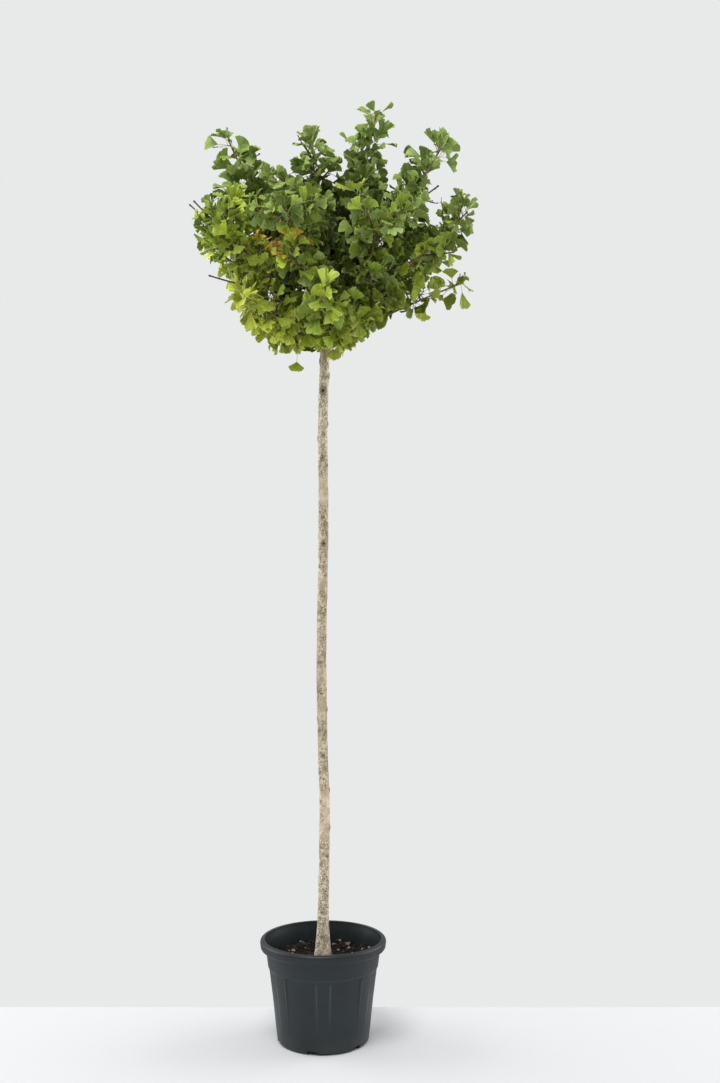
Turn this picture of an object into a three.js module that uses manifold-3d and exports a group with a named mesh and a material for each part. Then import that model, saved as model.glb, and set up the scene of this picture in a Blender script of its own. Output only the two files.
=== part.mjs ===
// A grafted standard ginkgo in a ribbed nursery pot.
// Millimetres, +Z up. The origin is the centre of the pot's flat underside, +X to the right, +Y to the back.
//
// The bare stem stands on the soil in the pot and ends in a short head above the graft. Boughs leave the head
// in all directions, and each carries one mass of foliage: a stem with side shoots, and fan leaves on both.
import * as THREE from "three";
import { mergeVertices } from "three/addons/utils/BufferGeometryUtils.js";
import Module from "manifold-3d";

const wasm = await Module();
wasm.setup();

const UP = new THREE.Vector3(0, 0, 1);
const TURN = 2 * Math.PI;
const GOLDEN_TURN = TURN * 0.381966; // from one bud to the next up a shoot
const CLEARANCE = 0.3; // between solids that touch on the real plant
const SHORTEST_EDGE = 0.05; // shorter ones are closed up after leaves are joined
const SHORTEST_CUT = 0.3; // shorter ones are closed up after a bough is cut

// ---- Pot and soil ----
const POT_HEIGHT = 352;
const POT_WALL = 3;
const UNDERSIDE_RADIUS = 150;
const WALL_FOOT_RADIUS = 157.5; // of the outer wall, carried down to the underside
const WALL_FOOT_CHAMFER = 6;
const WALL_FLARE = 0.129; // growth of the wall's radius with height
const LIP_RADIUS = 218.5;
const LIP_DEPTH = 35;
const LIP_EDGES = { bottom: 2, top: [7, 8] }; // chamfers: the upper one inwards and down
const MOUTH_RADIUS = 202;
const COLLAR_BOTTOM = 258; // the plain band under the lip
const PANEL_TOP = 252;
const PANEL_BOTTOM = 45;
const PANEL_RECESS = 5.5; // at its top; it fades to nothing at its bottom
const RIB_COUNT = 7;
const RIB_BEARING = -94.9; // degrees, where the first rib starts
const RIB_COLUMNS = [0, 12.9, 18.8, 32.1, 45.5]; // degrees from a rib's start: its two edges, then the panel
const DRAIN_COUNT = 6;
const DRAIN_BEARING = -102; // degrees
const DRAIN_SIZE = [26, 33, 11]; // inwards, across and up
const DRAIN_CENTRE_RADIUS = 158;
const DRAIN_OVERCUT = 1; // below the underside
const SOIL_TOP = 282;

// ---- Stem ----
const STEM_SWAY_X = [-3, 2, 4.5, -3, -6, -1, 1, -1.5, 6]; // at equal steps from the soil to the graft
const STEM_SWAY_Y = [0, 2, 3, 1, -2, -3, -1, 2, 3];
const GRAFT_HEIGHT = 2392;
const HEAD_LENGTH = 128; // above the graft
const HEAD_TIP_RADIUS = 11;
const STEM_RADIUS = 16.6;
const STEM_TAPER = { gain: 3.2, length: 450 };
const ROOT_FLARE = { gain: 12, length: 70, lobes: 5, depth: 0.09 };
const GRAFT_SWELL = { gain: 2.5, length: 24 };
const STEM_SIDES = 10;
// Ring heights above the soil in the flare, and above the graft in the head; even steps join the two.
const FLARE_RINGS = [0, 14, 32, 58, 96, 150];
const HEAD_RINGS = [-60, -24, 0, 24, 70, HEAD_LENGTH];
const PLAIN_STEPS = 9;
const KNOT_COUNT = 12;
const KNOT = { radius: 9, stretch: 1.5, sunk: 0.45, nod: 0.2, lowest: 190, highest: -70 };
const FIRST_KNOT = -162.5; // bearing of the lowest one, in degrees

// ---- Crown ----
const CROWN_HUB = new THREE.Vector3(6, 2, 2412); // all the spaces for foliage start here
// Bearing from +X towards +Y and rise above level in degrees; reach of the furthest leaf from the hub.
const BOUGHS = [
  { tier: "top", bearing: 14, rise: 77, reach: 876 },
  { tier: "top", bearing: 62, rise: 68, reach: 785 },
  { tier: "top", bearing: 125, rise: 62, reach: 700 },
  { tier: "top", bearing: 191, rise: 64, reach: 812 },
  { tier: "top", bearing: 260, rise: 72, reach: 710 },
  { tier: "top", bearing: 347, rise: 58, reach: 800 },
  { tier: "middle", bearing: 354, rise: 42, reach: 710 },
  { tier: "middle", bearing: 37, rise: 43, reach: 670 },
  { tier: "middle", bearing: 83, rise: 41, reach: 600 },
  { tier: "middle", bearing: 129, rise: 40, reach: 600 },
  { tier: "middle", bearing: 175, rise: 46, reach: 712 },
  { tier: "middle", bearing: 212, rise: 42, reach: 610 },
  { tier: "middle", bearing: 254, rise: 42, reach: 600 },
  { tier: "middle", bearing: 304, rise: 43, reach: 620 },
  { tier: "low", bearing: 13, rise: 25, reach: 600 },
  { tier: "low", bearing: 68, rise: 18, reach: 430 },
  { tier: "low", bearing: 128, rise: 19, reach: 430 },
  { tier: "low", bearing: 182, rise: 21, reach: 405 },
  { tier: "low", bearing: 226, rise: 17, reach: 430 },
  { tier: "low", bearing: 270, rise: 15, reach: 420 },
  { tier: "low", bearing: 315, rise: 19, reach: 440 },
  { tier: "skirt", bearing: 35, rise: 1, reach: 205 },
  { tier: "skirt", bearing: 122, rise: -3, reach: 215 },
  { tier: "skirt", bearing: 205, rise: -9, reach: 265 },
  { tier: "skirt", bearing: 288, rise: -12, reach: 215 },
];
const BOUGH_SHARE = 0.24; // of the reach, where a bough ends and its mass starts
const BOUGH_RADIUS = { top: 7, middle: 6, low: 5.2, skirt: 4.4 };
const BOUGH_TIP_SHARE = 0.7; // of the radius at its foot
const BOUGH_BEND = 0.5; // how far its bend lies from its end, as a share of its length
const BOUGH_SIDES = 5;
const BOUGH_STEPS = 3;
const BOUGH_ORDER = 5; // neighbours in a tier leave the head this many places apart
const HEAD_SPACING = { skirt: [2, 8], low: [16, 40], middle: [50, 84], top: [88, 112] }; // above the graft

// The crown's body is a flattened ball, cut below by a cone about the stem. Leaders stand out of it.
const BODY = { radius: 475, halfHeight: 325, middle: 300, right: 28, power: 3.2 };
const UNDERSIDE = { slope: 0.85, tilt: 0.12, drop: 150 }; // the cone, tilted down to the left
const LEADER_RADIUS = 76; // the space round a mass's own stem, out to its reach

// ---- Foliage ----
const SEED = 6;
const TWIGS = {
  stem: { footRadius: 4.2, tipRadius: 2, steps: 4 },
  shoot: { footRadius: 1.7, tipRadius: 1.4, steps: 1 },
};
const TWIG_SIDES = 3;
const SHOOT_SPACING = 80;
const SHOOT_ANGLE = 0.85; // radians away from the stem
const SHOOT_SHARE = 0.34; // a shoot's length as a share of its distance from the hub
const SHORTEST_SHOOT = 40;
const SHOOT_CUT = 0.85; // what is kept of a shoot each time it is cut back
const SHOOT_MARGIN = 16; // from a shoot's tip to the faces of the space
const SHOOT_SPREAD = [0.8, 1.2]; // of a shoot's length
const STEM_WANDER = 0.04; // of a stem's length, at its middle
const TIP_LEAVES = 53.9; // what the leaves at a stem's tip add to its reach
const SPUR_SPACING = { top: 82, middle: 72, low: 46, skirt: 36 }; // the short spurs that carry the leaves
const LEAVES_AT_SPUR = 2;
const LEAVES_AT_TIP = 4;
const LEAF_TRIES = 16;
const LEAF_SHARES = { first: 1.08, less: 0.028 }; // of its size: at the first try, and less at each later one
const LEAF_STEP = { first: 0.08, next: 0.05 }; // how far before its spur a leaf is tried
const LEAF_LENGTH = 98;
const LEAF_HALF_WIDTH = 52;
const LEAF_THICKNESS = 2.6;
const LEAF_CREST = 0.55; // of the length, where a leaf is thickest
const LEAF_FOLD = [-0.075, 0.175]; // slope of each half
const LEAF_FORWARD = [0.2, 1]; // how far leaves point along their twig
const LEAF_ROLL = 0.8; // how far their upper sides turn from facing out of the crown
const LEAF_SIZE = { inner: 1.12, outer: 0.68 }; // share of full size, at the hub and at the furthest reach
const FURTHEST_REACH = 870;
const ROOT_ZONE = 5; // a leaf may meet its mass only this near its root
const LIFT = { top: 0.4, middle: 0.1, low: -0.15, skirt: -0.7 }; // how far leaves stand up or hang
const SPACE_MARGIN = 0.6; // from the faces of a mass's own space
const LEAF_MARGIN = 5; // the same for a leaf's corners
const STEM_MARGIN = 34; // from the middle of the stem to any leaf

const COLOURS = {
  pot: "#3c4143",
  soil: "#3a2c22",
  trunk: "#bfae90",
  bough: "#7a6752",
  top: "#5f7f37",
  middle: "#6f8f3c",
  low: "#8ba544",
  skirt: "#9bb04e",
};

const degrees = THREE.MathUtils.degToRad;

// A repeatable stream of numbers from 0 to 1.
function seeded(seed) {
  let state = Math.imul(seed, 2654435761) >>> 0;
  return () => {
    state = (Math.imul(state, 1664525) + 1013904223) >>> 0;
    return state / 4294967296;
  };
}

// ---- Solids from geometries, and back ----

function solidOf(geometry) {
  const bare = geometry.clone();
  bare.deleteAttribute("normal");
  bare.deleteAttribute("uv");
  const merged = mergeVertices(bare, 1e-3);
  const corners = Array.from(merged.index.array);
  const kept = corners.filter((_, i) => {
    const first = i - (i % 3);
    const [a, b, c] = corners.slice(first, first + 3);
    return a !== b && b !== c && c !== a;
  });
  return new wasm.Manifold(
    new wasm.Mesh({
      numProp: 3,
      vertProperties: merged.attributes.position.array,
      triVerts: new Uint32Array(kept),
    }),
  );
}

// The largest body of a solid, with its tiniest edges closed up: loose scraps and sealed hollows are dropped.
function largestBody(solid, shortest = SHORTEST_EDGE) {
  const bodies = solid.decompose();
  const largest = bodies.reduce((best, body) => (body.volume() > best.volume() ? body : best));
  return largest.simplify(shortest);
}

function geometryOf(solid) {
  const mesh = solid.getMesh();
  return new THREE.BufferGeometry()
    .setAttribute("position", new THREE.BufferAttribute(mesh.vertProperties, 3))
    .setIndex(new THREE.BufferAttribute(mesh.triVerts, 1));
}

function named(name, geometry, colour, roughness) {
  const shaded = geometry.clone();
  shaded.computeVertexNormals();
  const material = new THREE.MeshStandardMaterial({ color: colour, roughness, metalness: 0 });
  const mesh = new THREE.Mesh(shaded, material);
  mesh.name = name;
  return mesh;
}

// ---- Pot ----

const wallRadius = (height) => WALL_FOOT_RADIUS + WALL_FLARE * height;

// How far the panel between two ribs is pressed in, at a column of the turned wall.
function recess(column, height) {
  const onRib = column % RIB_COLUMNS.length < 2;
  const inPanel = height > PANEL_BOTTOM && height <= PANEL_TOP;
  if (onRib || !inPanel) return 0;
  return (PANEL_RECESS * (height - PANEL_BOTTOM)) / (PANEL_TOP - PANEL_BOTTOM);
}

// A profile of [radius, height] points turned about +Z, with its columns at the edges of the ribs and panels,
// and pressed in from there by a depth for each column and height.
function turned(profile, depthAt = () => 0) {
  const columns = RIB_COUNT * RIB_COLUMNS.length;
  const points = profile.map(([radius, height]) => new THREE.Vector2(radius, height));
  const geometry = new THREE.LatheGeometry(points, columns);
  const position = geometry.attributes.position;
  for (let i = 0; i < position.count; i++) {
    const column = Math.floor(i / points.length) % columns;
    const { x: radius, y: height } = points[i % points.length];
    const rib = Math.floor(column / RIB_COLUMNS.length);
    const offset = RIB_COLUMNS[column % RIB_COLUMNS.length];
    const bearing = degrees(RIB_BEARING + offset) + (rib * TURN) / RIB_COUNT;
    const out = radius - depthAt(column, height);
    position.setXYZ(i, out * Math.cos(bearing), out * Math.sin(bearing), height);
  }
  return geometry;
}

function potSolid() {
  const lipBottom = POT_HEIGHT - LIP_DEPTH;
  const [chamferIn, chamferDown] = LIP_EDGES.top;
  const outside = [
    [0, 0],
    [UNDERSIDE_RADIUS, 0],
    [WALL_FOOT_RADIUS, WALL_FOOT_CHAMFER],
    [wallRadius(PANEL_BOTTOM), PANEL_BOTTOM],
    [wallRadius(PANEL_TOP), PANEL_TOP],
    [wallRadius(COLLAR_BOTTOM), COLLAR_BOTTOM],
    [wallRadius(lipBottom), lipBottom],
    [LIP_RADIUS - LIP_EDGES.bottom, lipBottom + LIP_EDGES.bottom],
    [LIP_RADIUS, POT_HEIGHT - chamferDown],
    [LIP_RADIUS - chamferIn, POT_HEIGHT],
    [MOUTH_RADIUS, POT_HEIGHT],
  ];
  const inside = [
    [wallRadius(lipBottom) - POT_WALL, lipBottom],
    [wallRadius(COLLAR_BOTTOM) - POT_WALL, COLLAR_BOTTOM],
    [wallRadius(PANEL_TOP) - POT_WALL, PANEL_TOP],
    [wallRadius(PANEL_BOTTOM) - POT_WALL, PANEL_BOTTOM],
    [UNDERSIDE_RADIUS - POT_WALL, POT_WALL],
    [0, POT_WALL],
  ];
  let pot = solidOf(turned([...outside, ...inside], recess));
  for (let i = 0; i < DRAIN_COUNT; i++) {
    const slot = new THREE.BoxGeometry(...DRAIN_SIZE);
    slot.translate(DRAIN_CENTRE_RADIUS, 0, 0.5 * DRAIN_SIZE[2] - DRAIN_OVERCUT);
    slot.rotateZ(degrees(DRAIN_BEARING) + (i * TURN) / DRAIN_COUNT);
    pot = pot.subtract(solidOf(slot));
  }
  return pot;
}

// The soil is round: it fills the pot out to the panels, and leaves the hollows behind the ribs.
function soilGeometry() {
  const gap = POT_WALL + CLEARANCE;
  return turned([
    [0, gap],
    [UNDERSIDE_RADIUS - gap, gap],
    [wallRadius(PANEL_BOTTOM) - gap, PANEL_BOTTOM],
    [wallRadius(PANEL_TOP) - PANEL_RECESS - gap, PANEL_TOP],
    [wallRadius(COLLAR_BOTTOM) - gap, COLLAR_BOTTOM],
    [wallRadius(SOIL_TOP) - gap, SOIL_TOP],
    [0, SOIL_TOP],
  ]);
}

// ---- Limbs ----

// A cylinder bent along a path: pointAt and radiusAt take a share from 0 at the foot to 1 at the tip.
function limb(pointAt, radiusAt, sides, steps, frameAt) {
  const geometry = new THREE.CylinderGeometry(1, 1, 1, sides, steps);
  const position = geometry.attributes.position;
  const vertex = new THREE.Vector3();
  for (let i = 0; i < position.count; i++) {
    vertex.fromBufferAttribute(position, i);
    const share = Math.round((vertex.y + 0.5) * steps) / steps;
    const { side, across } = frameAt(share);
    const radius = radiusAt(share, Math.atan2(vertex.z, vertex.x));
    const centre = pointAt(share);
    centre.addScaledVector(side, vertex.x * radius).addScaledVector(across, -vertex.z * radius);
    position.setXYZ(i, centre.x, centre.y, centre.z);
  }
  return geometry;
}

// What is added to a limb's radius to move its flat sides out by the clearance.
const clearRadius = (sides) => CLEARANCE / Math.cos(Math.PI / sides);

// Two directions square to another, which with it make a right-handed set.
function squareTo(along) {
  const level = Math.abs(along.z) > 0.9 ? new THREE.Vector3(1, 0, 0) : UP;
  const side = new THREE.Vector3().crossVectors(along, level).normalize();
  return { side, across: new THREE.Vector3().crossVectors(along, side) };
}

function taperedLimb(curve, footRadius, tipRadius, sides, steps) {
  const pointAt = (share) => curve.getPoint(share);
  const radiusAt = (share) => THREE.MathUtils.lerp(footRadius, tipRadius, share);
  const frameAt = (share) => squareTo(curve.getTangent(share));
  return limb(pointAt, radiusAt, sides, steps, frameAt);
}

// ---- Trunk ----

const stemFoot = SOIL_TOP + CLEARANCE;
const headTip = GRAFT_HEIGHT + HEAD_LENGTH;
const swayStep = (GRAFT_HEIGHT - stemFoot) / (STEM_SWAY_X.length - 1);
const stemCurve = new THREE.CatmullRomCurve3(
  STEM_SWAY_X.map((x, i) => new THREE.Vector3(x, STEM_SWAY_Y[i], stemFoot + i * swayStep)),
);

// The middle of the stem at a height; above the graft it runs straight up.
function stemCentre(height) {
  const share = THREE.MathUtils.clamp((height - stemFoot) / (GRAFT_HEIGHT - stemFoot), 0, 1);
  const centre = stemCurve.getPoint(share);
  return centre.setZ(height);
}

function stemRadius(height, bearing = 0) {
  const above = height - stemFoot;
  const overGraft = Math.max(0, height - GRAFT_HEIGHT) / HEAD_LENGTH;
  const shaft = STEM_RADIUS + STEM_TAPER.gain * Math.exp(-above / STEM_TAPER.length);
  const flare = ROOT_FLARE.gain * Math.exp(-above / ROOT_FLARE.length);
  const lobes = 1 + ROOT_FLARE.depth * Math.cos(ROOT_FLARE.lobes * bearing) * (flare / ROOT_FLARE.gain);
  const swell = GRAFT_SWELL.gain * Math.exp(-(((height - GRAFT_HEIGHT) / GRAFT_SWELL.length) ** 2));
  return THREE.MathUtils.lerp(shaft + flare, HEAD_TIP_RADIUS, overGraft) * lobes + swell;
}

// The stem between ring heights, with its rings kept level.
function stemLimb(heights, radiusOf) {
  const steps = heights.length - 1;
  const heightAt = (share) => heights[Math.round(share * steps)];
  const pointAt = (share) => stemCentre(heightAt(share));
  const radiusAt = (share, bearing) => radiusOf(heightAt(share), bearing);
  const level = { side: new THREE.Vector3(1, 0, 0), across: new THREE.Vector3(0, 1, 0) };
  return limb(pointAt, radiusAt, STEM_SIDES, steps, () => level);
}

function knotSolid(index) {
  const share = (index + 0.5) / KNOT_COUNT;
  const height = THREE.MathUtils.lerp(stemFoot + KNOT.lowest, GRAFT_HEIGHT + KNOT.highest, share);
  const out = stemRadius(height) - KNOT.sunk * KNOT.radius;
  const bearing = degrees(FIRST_KNOT) + index * GOLDEN_TURN;
  const centre = stemCentre(height);
  const knot = new THREE.OctahedronGeometry(KNOT.radius, 0);
  knot.scale(1, 1, KNOT.stretch).rotateX(KNOT.nod);
  knot.translate(centre.x + out * Math.cos(bearing), centre.y + out * Math.sin(bearing), height);
  return solidOf(knot);
}

function trunkSolid() {
  const flare = FLARE_RINGS.map((rise) => stemFoot + rise);
  const head = HEAD_RINGS.map((rise) => GRAFT_HEIGHT + rise);
  const plain = Array.from({ length: PLAIN_STEPS - 1 }, (_, i) =>
    THREE.MathUtils.lerp(flare.at(-1), head[0], (i + 1) / PLAIN_STEPS),
  );
  const stem = solidOf(stemLimb([...flare, ...plain, ...head], stemRadius));
  const knots = Array.from({ length: KNOT_COUNT }, (_, i) => knotSolid(i));
  return largestBody(wasm.Manifold.union([stem, ...knots]));
}

// The space that the trunk's head takes from the boughs: its own shape, swollen by the clearance.
function headClearance() {
  const heights = [...HEAD_RINGS, HEAD_LENGTH + CLEARANCE].map((rise) => GRAFT_HEIGHT + rise);
  return stemLimb(heights, (height) => stemRadius(Math.min(height, headTip)) + clearRadius(STEM_SIDES));
}

// ---- Boughs ----

function heading({ bearing, rise }) {
  const level = Math.cos(degrees(rise));
  return new THREE.Vector3(
    level * Math.cos(degrees(bearing)),
    level * Math.sin(degrees(bearing)),
    Math.sin(degrees(rise)),
  );
}

// Each bough with its direction, its end, and the height at which it leaves the head.
function plannedBoughs() {
  return BOUGHS.map((bough) => {
    const sameTier = BOUGHS.filter((other) => other.tier === bough.tier);
    const place = (sameTier.indexOf(bough) * BOUGH_ORDER) % sameTier.length;
    const [lowest, highest] = HEAD_SPACING[bough.tier];
    const height = GRAFT_HEIGHT + THREE.MathUtils.lerp(lowest, highest, place / (sameTier.length - 1));
    const direction = heading(bough);
    const end = CROWN_HUB.clone().addScaledVector(direction, BOUGH_SHARE * bough.reach);
    return { ...bough, direction, height, end };
  });
}

// A bough leaves the head at a wide angle, and bends up to run in its own direction at its end.
function boughCurve({ direction, height, end }) {
  const foot = stemCentre(height);
  const bend = end.clone().addScaledVector(direction, -BOUGH_BEND * end.distanceTo(foot));
  return new THREE.QuadraticBezierCurve3(foot, bend, end);
}

// The boughs as solids: each is cut clear of the head and, where they crowd there, of the boughs before it.
function boughSolids(boughs) {
  let taken = solidOf(headClearance());
  return boughs.map((bough) => {
    const curve = boughCurve(bough);
    const foot = BOUGH_RADIUS[bough.tier];
    const shape = (extra) =>
      solidOf(taperedLimb(curve, foot + extra, BOUGH_TIP_SHARE * foot + extra, BOUGH_SIDES, BOUGH_STEPS));
    const bare = largestBody(shape(0).subtract(taken), SHORTEST_CUT);
    taken = taken.add(shape(clearRadius(BOUGH_SIDES)));
    return bare;
  });
}

// ---- Foliage ----

// Whether a point, measured from the hub, lies in the crown's body.
function inBody(fromHub) {
  const out = Math.hypot(fromHub.x - BODY.right, fromHub.y);
  const level = (out / BODY.radius) ** BODY.power;
  const upright = Math.abs((fromHub.z - BODY.middle) / BODY.halfHeight) ** BODY.power;
  const floor = UNDERSIDE.slope * out + UNDERSIDE.tilt * fromHub.x - UNDERSIDE.drop;
  return level + upright < 1 && fromHub.z > floor;
}

// A test for the space of one mass: beyond its bough, nearer its own bough's direction than any other's, and
// either in the crown's body or close round its own stem.
function spaceOf(bough, boughs) {
  const faces = boughs
    .filter((other) => other !== bough)
    .map((other) => bough.direction.clone().sub(other.direction).normalize());
  return (point, margin = SPACE_MARGIN) => {
    const fromHub = point.clone().sub(CROWN_HUB);
    const along = fromHub.dot(bough.direction);
    const aside = Math.sqrt(Math.max(0, fromHub.lengthSq() - along ** 2));
    const fromStem = Math.hypot(point.x - CROWN_HUB.x, point.y - CROWN_HUB.y);
    return (
      along > BOUGH_SHARE * bough.reach + margin &&
      fromHub.length() < bough.reach &&
      (inBody(fromHub) || aside < LEADER_RADIUS) &&
      (point.z > headTip || fromStem > STEM_MARGIN) &&
      faces.every((face) => face.dot(fromHub) > margin)
    );
  };
}

// A fan: its root at the origin, its length along +Y, and two lobes with a notch between them.
const LEAF_OUTLINE = [
  [0, 0],
  [1, 0.64],
  [0.56, 1],
  [0, 0.86],
  [-0.56, 1],
  [-1, 0.64],
].map(([across, along]) => [across * LEAF_HALF_WIDTH, along * LEAF_LENGTH]);

// The fan as a solid: folded along its middle, and thickest at a point on its upper side.
function leafSolid(fold, matrix) {
  const rim = LEAF_OUTLINE.map(([x, y]) => [x, y, fold * Math.abs(x)]);
  const [root, right, rightLobe, notch, leftLobe, left] = rim;
  const crest = [0, LEAF_CREST * LEAF_LENGTH, LEAF_THICKNESS];
  const upper = rim.flatMap((corner, i) => [corner, rim[(i + 1) % rim.length], crest]);
  const lower = [root, notch, right, notch, rightLobe, right, root, left, notch, left, leftLobe, notch];
  const corners = new Float32Array([...upper, ...lower].flat());
  const geometry = new THREE.BufferGeometry().setAttribute("position", new THREE.BufferAttribute(corners, 3));
  return solidOf(geometry.applyMatrix4(matrix));
}

// Where one leaf would stand on a spur, or nothing if a corner of it would leave the space.
function leafPlace(root, along, face, share, bough, draw, fits) {
  const distance = root.distanceTo(CROWN_HUB) / FURTHEST_REACH;
  const size = share * THREE.MathUtils.lerp(LEAF_SIZE.inner, LEAF_SIZE.outer, distance);
  const { side, across } = squareTo(along);
  const turn = (TURN * (face + 0.5)) / TWIG_SIDES; // a twig's flat side, so that the root meets one face
  const out = side.multiplyScalar(Math.sin(turn)).addScaledVector(across, -Math.cos(turn));
  const forward = THREE.MathUtils.lerp(...LEAF_FORWARD, draw());
  const axis = out.addScaledVector(along, forward).addScaledVector(UP, LIFT[bough.tier]).normalize();
  const skyward = root.clone().sub(CROWN_HUB).normalize().addScaledVector(randomVector(draw), LEAF_ROLL);
  const width = new THREE.Vector3().crossVectors(axis, skyward).normalize();
  const normal = new THREE.Vector3().crossVectors(width, axis);
  const matrix = new THREE.Matrix4().makeBasis(width, axis, normal).setPosition(root);
  matrix.scale(new THREE.Vector3(size, size, 1));
  const corners = LEAF_OUTLINE.slice(1).map(([x, y]) => new THREE.Vector3(x, y, 0).applyMatrix4(matrix));
  return fits(root) && corners.every((corner) => fits(corner, LEAF_MARGIN)) ? matrix : null;
}

function randomVector(draw) {
  return new THREE.Vector3(2 * draw() - 1, 2 * draw() - 1, 2 * draw() - 1);
}

// The stem of a mass, from its bough's end to its furthest spur.
function massStem(bough, draw) {
  const start = bough.end.clone().addScaledVector(bough.direction, CLEARANCE);
  const tip = CROWN_HUB.clone().addScaledVector(bough.direction, bough.reach - TIP_LEAVES);
  const length = start.distanceTo(tip);
  const middle = start.clone().lerp(tip, 0.5).addScaledVector(randomVector(draw), STEM_WANDER * length);
  return { curve: new THREE.QuadraticBezierCurve3(start, middle, tip), length, ...TWIGS.stem };
}

// A straight shoot that leaves the stem at a share of its length, cut back until its tip stays in the space.
function sideShoot(stem, share, turn, draw, fits) {
  const foot = pointOn(stem, share);
  const along = stem.curve.getTangent(share);
  const { side, across } = squareTo(along);
  const out = side.multiplyScalar(Math.cos(turn)).addScaledVector(across, Math.sin(turn));
  const direction = along.multiplyScalar(Math.cos(SHOOT_ANGLE)).addScaledVector(out, Math.sin(SHOOT_ANGLE));
  let length = SHOOT_SHARE * foot.distanceTo(CROWN_HUB) * THREE.MathUtils.lerp(...SHOOT_SPREAD, draw());
  const tipAt = (reach) => foot.clone().addScaledVector(direction, reach);
  while (length > SHORTEST_SHOOT && !fits(tipAt(length), SHOOT_MARGIN)) length *= SHOOT_CUT;
  if (length <= SHORTEST_SHOOT || !inBody(foot.clone().sub(CROWN_HUB))) return null;
  return { curve: new THREE.LineCurve3(foot, tipAt(length)), length, ...TWIGS.shoot };
}

// A point on the middle line of a twig, which runs straight from ring to ring.
function pointOn({ curve, steps }, share) {
  const step = Math.min(Math.floor(share * steps), steps - 1);
  return curve.getPoint(step / steps).lerp(curve.getPoint((step + 1) / steps), share * steps - step);
}

function twigsOf(bough, draw, fits) {
  const stem = massStem(bough, draw);
  const count = Math.round(stem.length / SHOOT_SPACING);
  const shoots = [];
  let turn = TURN * draw();
  for (let i = 0; i < count; i++) {
    turn += GOLDEN_TURN;
    const shoot = sideShoot(stem, (i + 0.5) / count, turn, draw, fits);
    if (shoot) shoots.push(shoot);
  }
  return [stem, ...shoots];
}

function meetsOnlyAt(root, { min, max }) {
  const middle = root.toArray();
  return middle.every((value, i) => max[i] - value < ROOT_ZONE && value - min[i] < ROOT_ZONE);
}

// Adds leaves to a mass, on the spurs along a twig and at its tip, and leaves out any that would cut another.
function leafedOut(mass, twig, bough, draw, fits) {
  const spurs = Math.max(1, Math.round(twig.length / SPUR_SPACING[bough.tier]));
  let face = Math.floor(TWIG_SIDES * draw());
  for (let spur = 1; spur <= spurs; spur++) {
    const wanted = spur === spurs ? LEAVES_AT_TIP : LEAVES_AT_SPUR;
    let placed = 0;
    for (let attempt = 0; attempt < LEAF_TRIES && placed < wanted; attempt++) {
      face++;
      const share = (spur - (LEAF_STEP.first + LEAF_STEP.next * attempt)) / spurs;
      const root = pointOn(twig, share);
      const size = LEAF_SHARES.first - LEAF_SHARES.less * attempt;
      const matrix = leafPlace(root, twig.curve.getTangent(share), face, size, bough, draw, fits);
      if (!matrix) continue;
      const leaf = leafSolid(THREE.MathUtils.lerp(...LEAF_FOLD, draw()), matrix);
      if (!meetsOnlyAt(root, mass.intersect(leaf).boundingBox())) continue;
      mass = mass.add(leaf);
      placed++;
    }
  }
  return mass;
}

function massSolid(bough, index, boughs) {
  const draw = seeded(SEED + index);
  const fits = spaceOf(bough, boughs);
  const twigs = twigsOf(bough, draw, fits);
  const wood = twigs.map(({ curve, footRadius, tipRadius, steps }) =>
    solidOf(taperedLimb(curve, footRadius, tipRadius, TWIG_SIDES, steps)),
  );
  const mass = twigs.reduce(
    (grown, twig) => leafedOut(grown, twig, bough, draw, fits),
    wasm.Manifold.union(wood),
  );
  return largestBody(mass);
}

// ---- The whole plant ----

function ginkgo() {
  const plant = new THREE.Group();
  plant.add(named("pot", geometryOf(potSolid()), COLOURS.pot, 0.45));
  plant.add(named("soil", soilGeometry(), COLOURS.soil, 1));
  plant.add(named("trunk", geometryOf(trunkSolid()), COLOURS.trunk, 0.85));
  const boughs = plannedBoughs();
  const limbs = boughSolids(boughs);
  boughs.forEach((bough, index) => {
    const label = `${bough.tier}_${String(index + 1).padStart(2, "0")}`;
    plant.add(named(`bough_${label}`, geometryOf(limbs[index]), COLOURS.bough, 0.85));
    const mass = geometryOf(massSolid(bough, index, boughs));
    plant.add(named(`foliage_${label}`, mass, COLOURS[bough.tier], 0.6));
  });
  return plant;
}

export default ginkgo();
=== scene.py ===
"""A grafted ginkgo standard in a ribbed nursery pot: a tall bare stem with a bushy head of fan leaves.

The file is laid out as an add-on and run as a script. Every surface is worked out with numpy from the sizes
in the property groups, which a user can change in the sidebar before running an operator again.
"""

import math
from types import SimpleNamespace

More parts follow.
